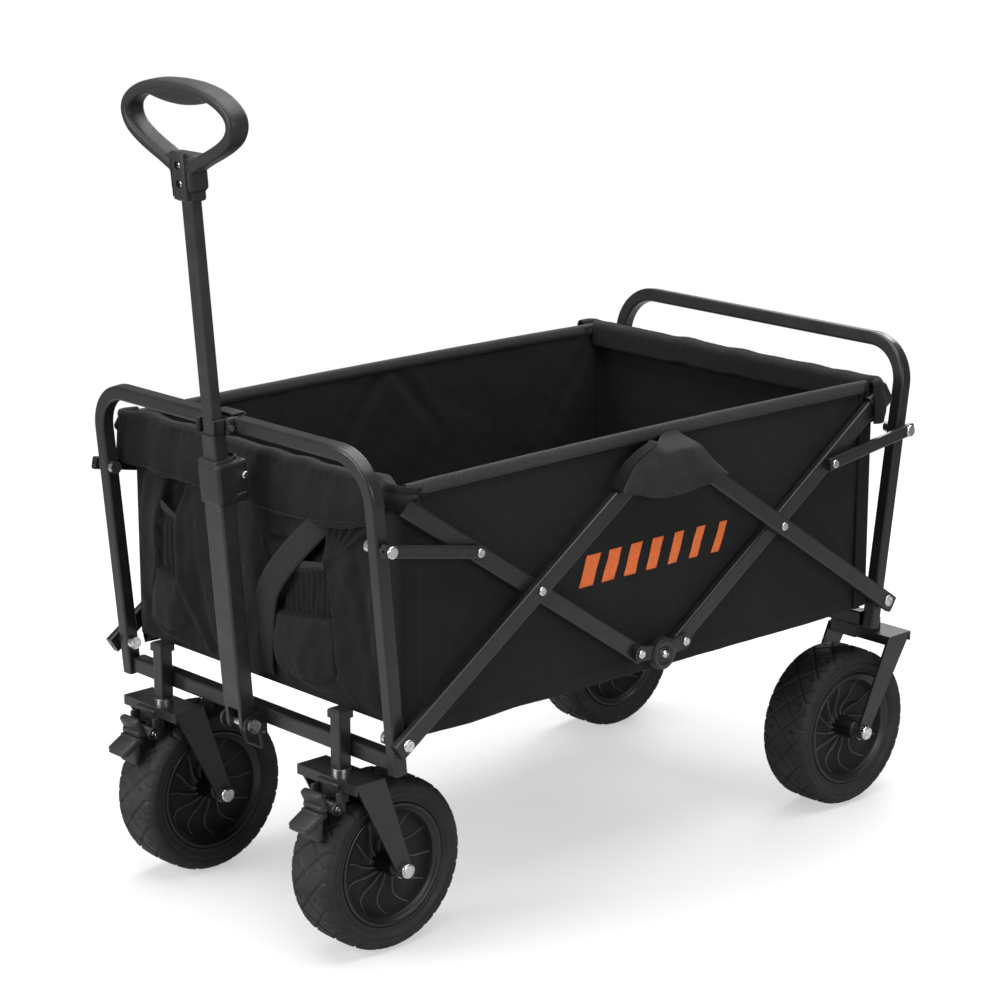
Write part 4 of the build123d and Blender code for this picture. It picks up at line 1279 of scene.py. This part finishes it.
def build_floor():
    """Pale floor that fades into the backdrop."""
    bpy.ops.mesh.primitive_plane_add(size=40, location=(0, 0, 0))
    ground = bpy.context.object
    ground.name = "studio_floor"
    m = Nodes("studio_floor_paint")
    m.set("Base Color", (0.93, 0.93, 0.93))
    m.set("Roughness", m.remap(m.noise(4, 3), 0.3, 0.7, 0.6, 0.75))
    m.set("Specular IOR Level", 0.1)
    reach = m.add("ShaderNodeVectorMath", operation="LENGTH")
    m.join(m.coord, reach.inputs[0])
    m.set("Alpha", m.remap(reach.outputs["Value"], FLOOR_NEAR, FLOOR_FAR, FLOOR_SOLID, 0))
    ground.data.materials.append(m.mat)


def build_backdrop():
    """White world that the camera sees brighter than it lights."""
    world = bpy.data.worlds.new("studio")
    bpy.context.scene.world = world
    world.use_nodes = True
    tree = world.node_tree
    back = tree.nodes["Background"]
    seen = tree.nodes.new("ShaderNodeLightPath")
    level = tree.nodes.new("ShaderNodeMapRange")
    level.inputs[3].default_value = AMBIENT
    level.inputs[4].default_value = BACKDROP
    tree.links.new(seen.outputs["Is Camera Ray"], level.inputs[0])
    tree.links.new(level.outputs[0], back.inputs[1])
    back.inputs[0].default_value = (1, 1, 1, 1)


def build_lights():
    """Large soft lights above, ahead, at the near side and behind."""
    area_light("overhead", (0.1, 0.1, 3.0), (3.4, 3.4), 146, (0.1, 0.1, 0))
    area_light("front_left", (2.9, -0.7, 1.3), (1.4, 1.8), 62)
    area_light("near_side", (0.6, 3.2, 1.2), (2.2, 1.2), 36)
    area_light("rim_back", (-2.6, -1.2, 2.0), (1.6, 1.2), 40)


def build_camera():
    """Camera at three-quarter view from the front left."""
    scene = bpy.context.scene
    data = bpy.data.cameras.new("camera")
    camera = bpy.data.objects.new("camera", data)
    scene.collection.objects.link(camera)
    data.lens = LENS_MM
    data.sensor_width = SENSOR_MM
    data.clip_end = 60
    right = Vector(CAMERA_RIGHT)
    back_way = Vector(CAMERA_BACK)
    up = back_way.cross(right)
    rot = Matrix((right, up, back_way)).transposed()
    camera.matrix_world = Matrix.Translation(CAMERA_AT) @ rot.to_4x4()
    scene.camera = camera
    scene.view_settings.view_transform = "Standard"


for build in (build_wheels, build_tub, build_grip, build_collar, build_clip, build_corners,
              build_hubs, build_tabs, build_brakes, build_floor, build_backdrop, build_lights,
              build_camera):
    build()
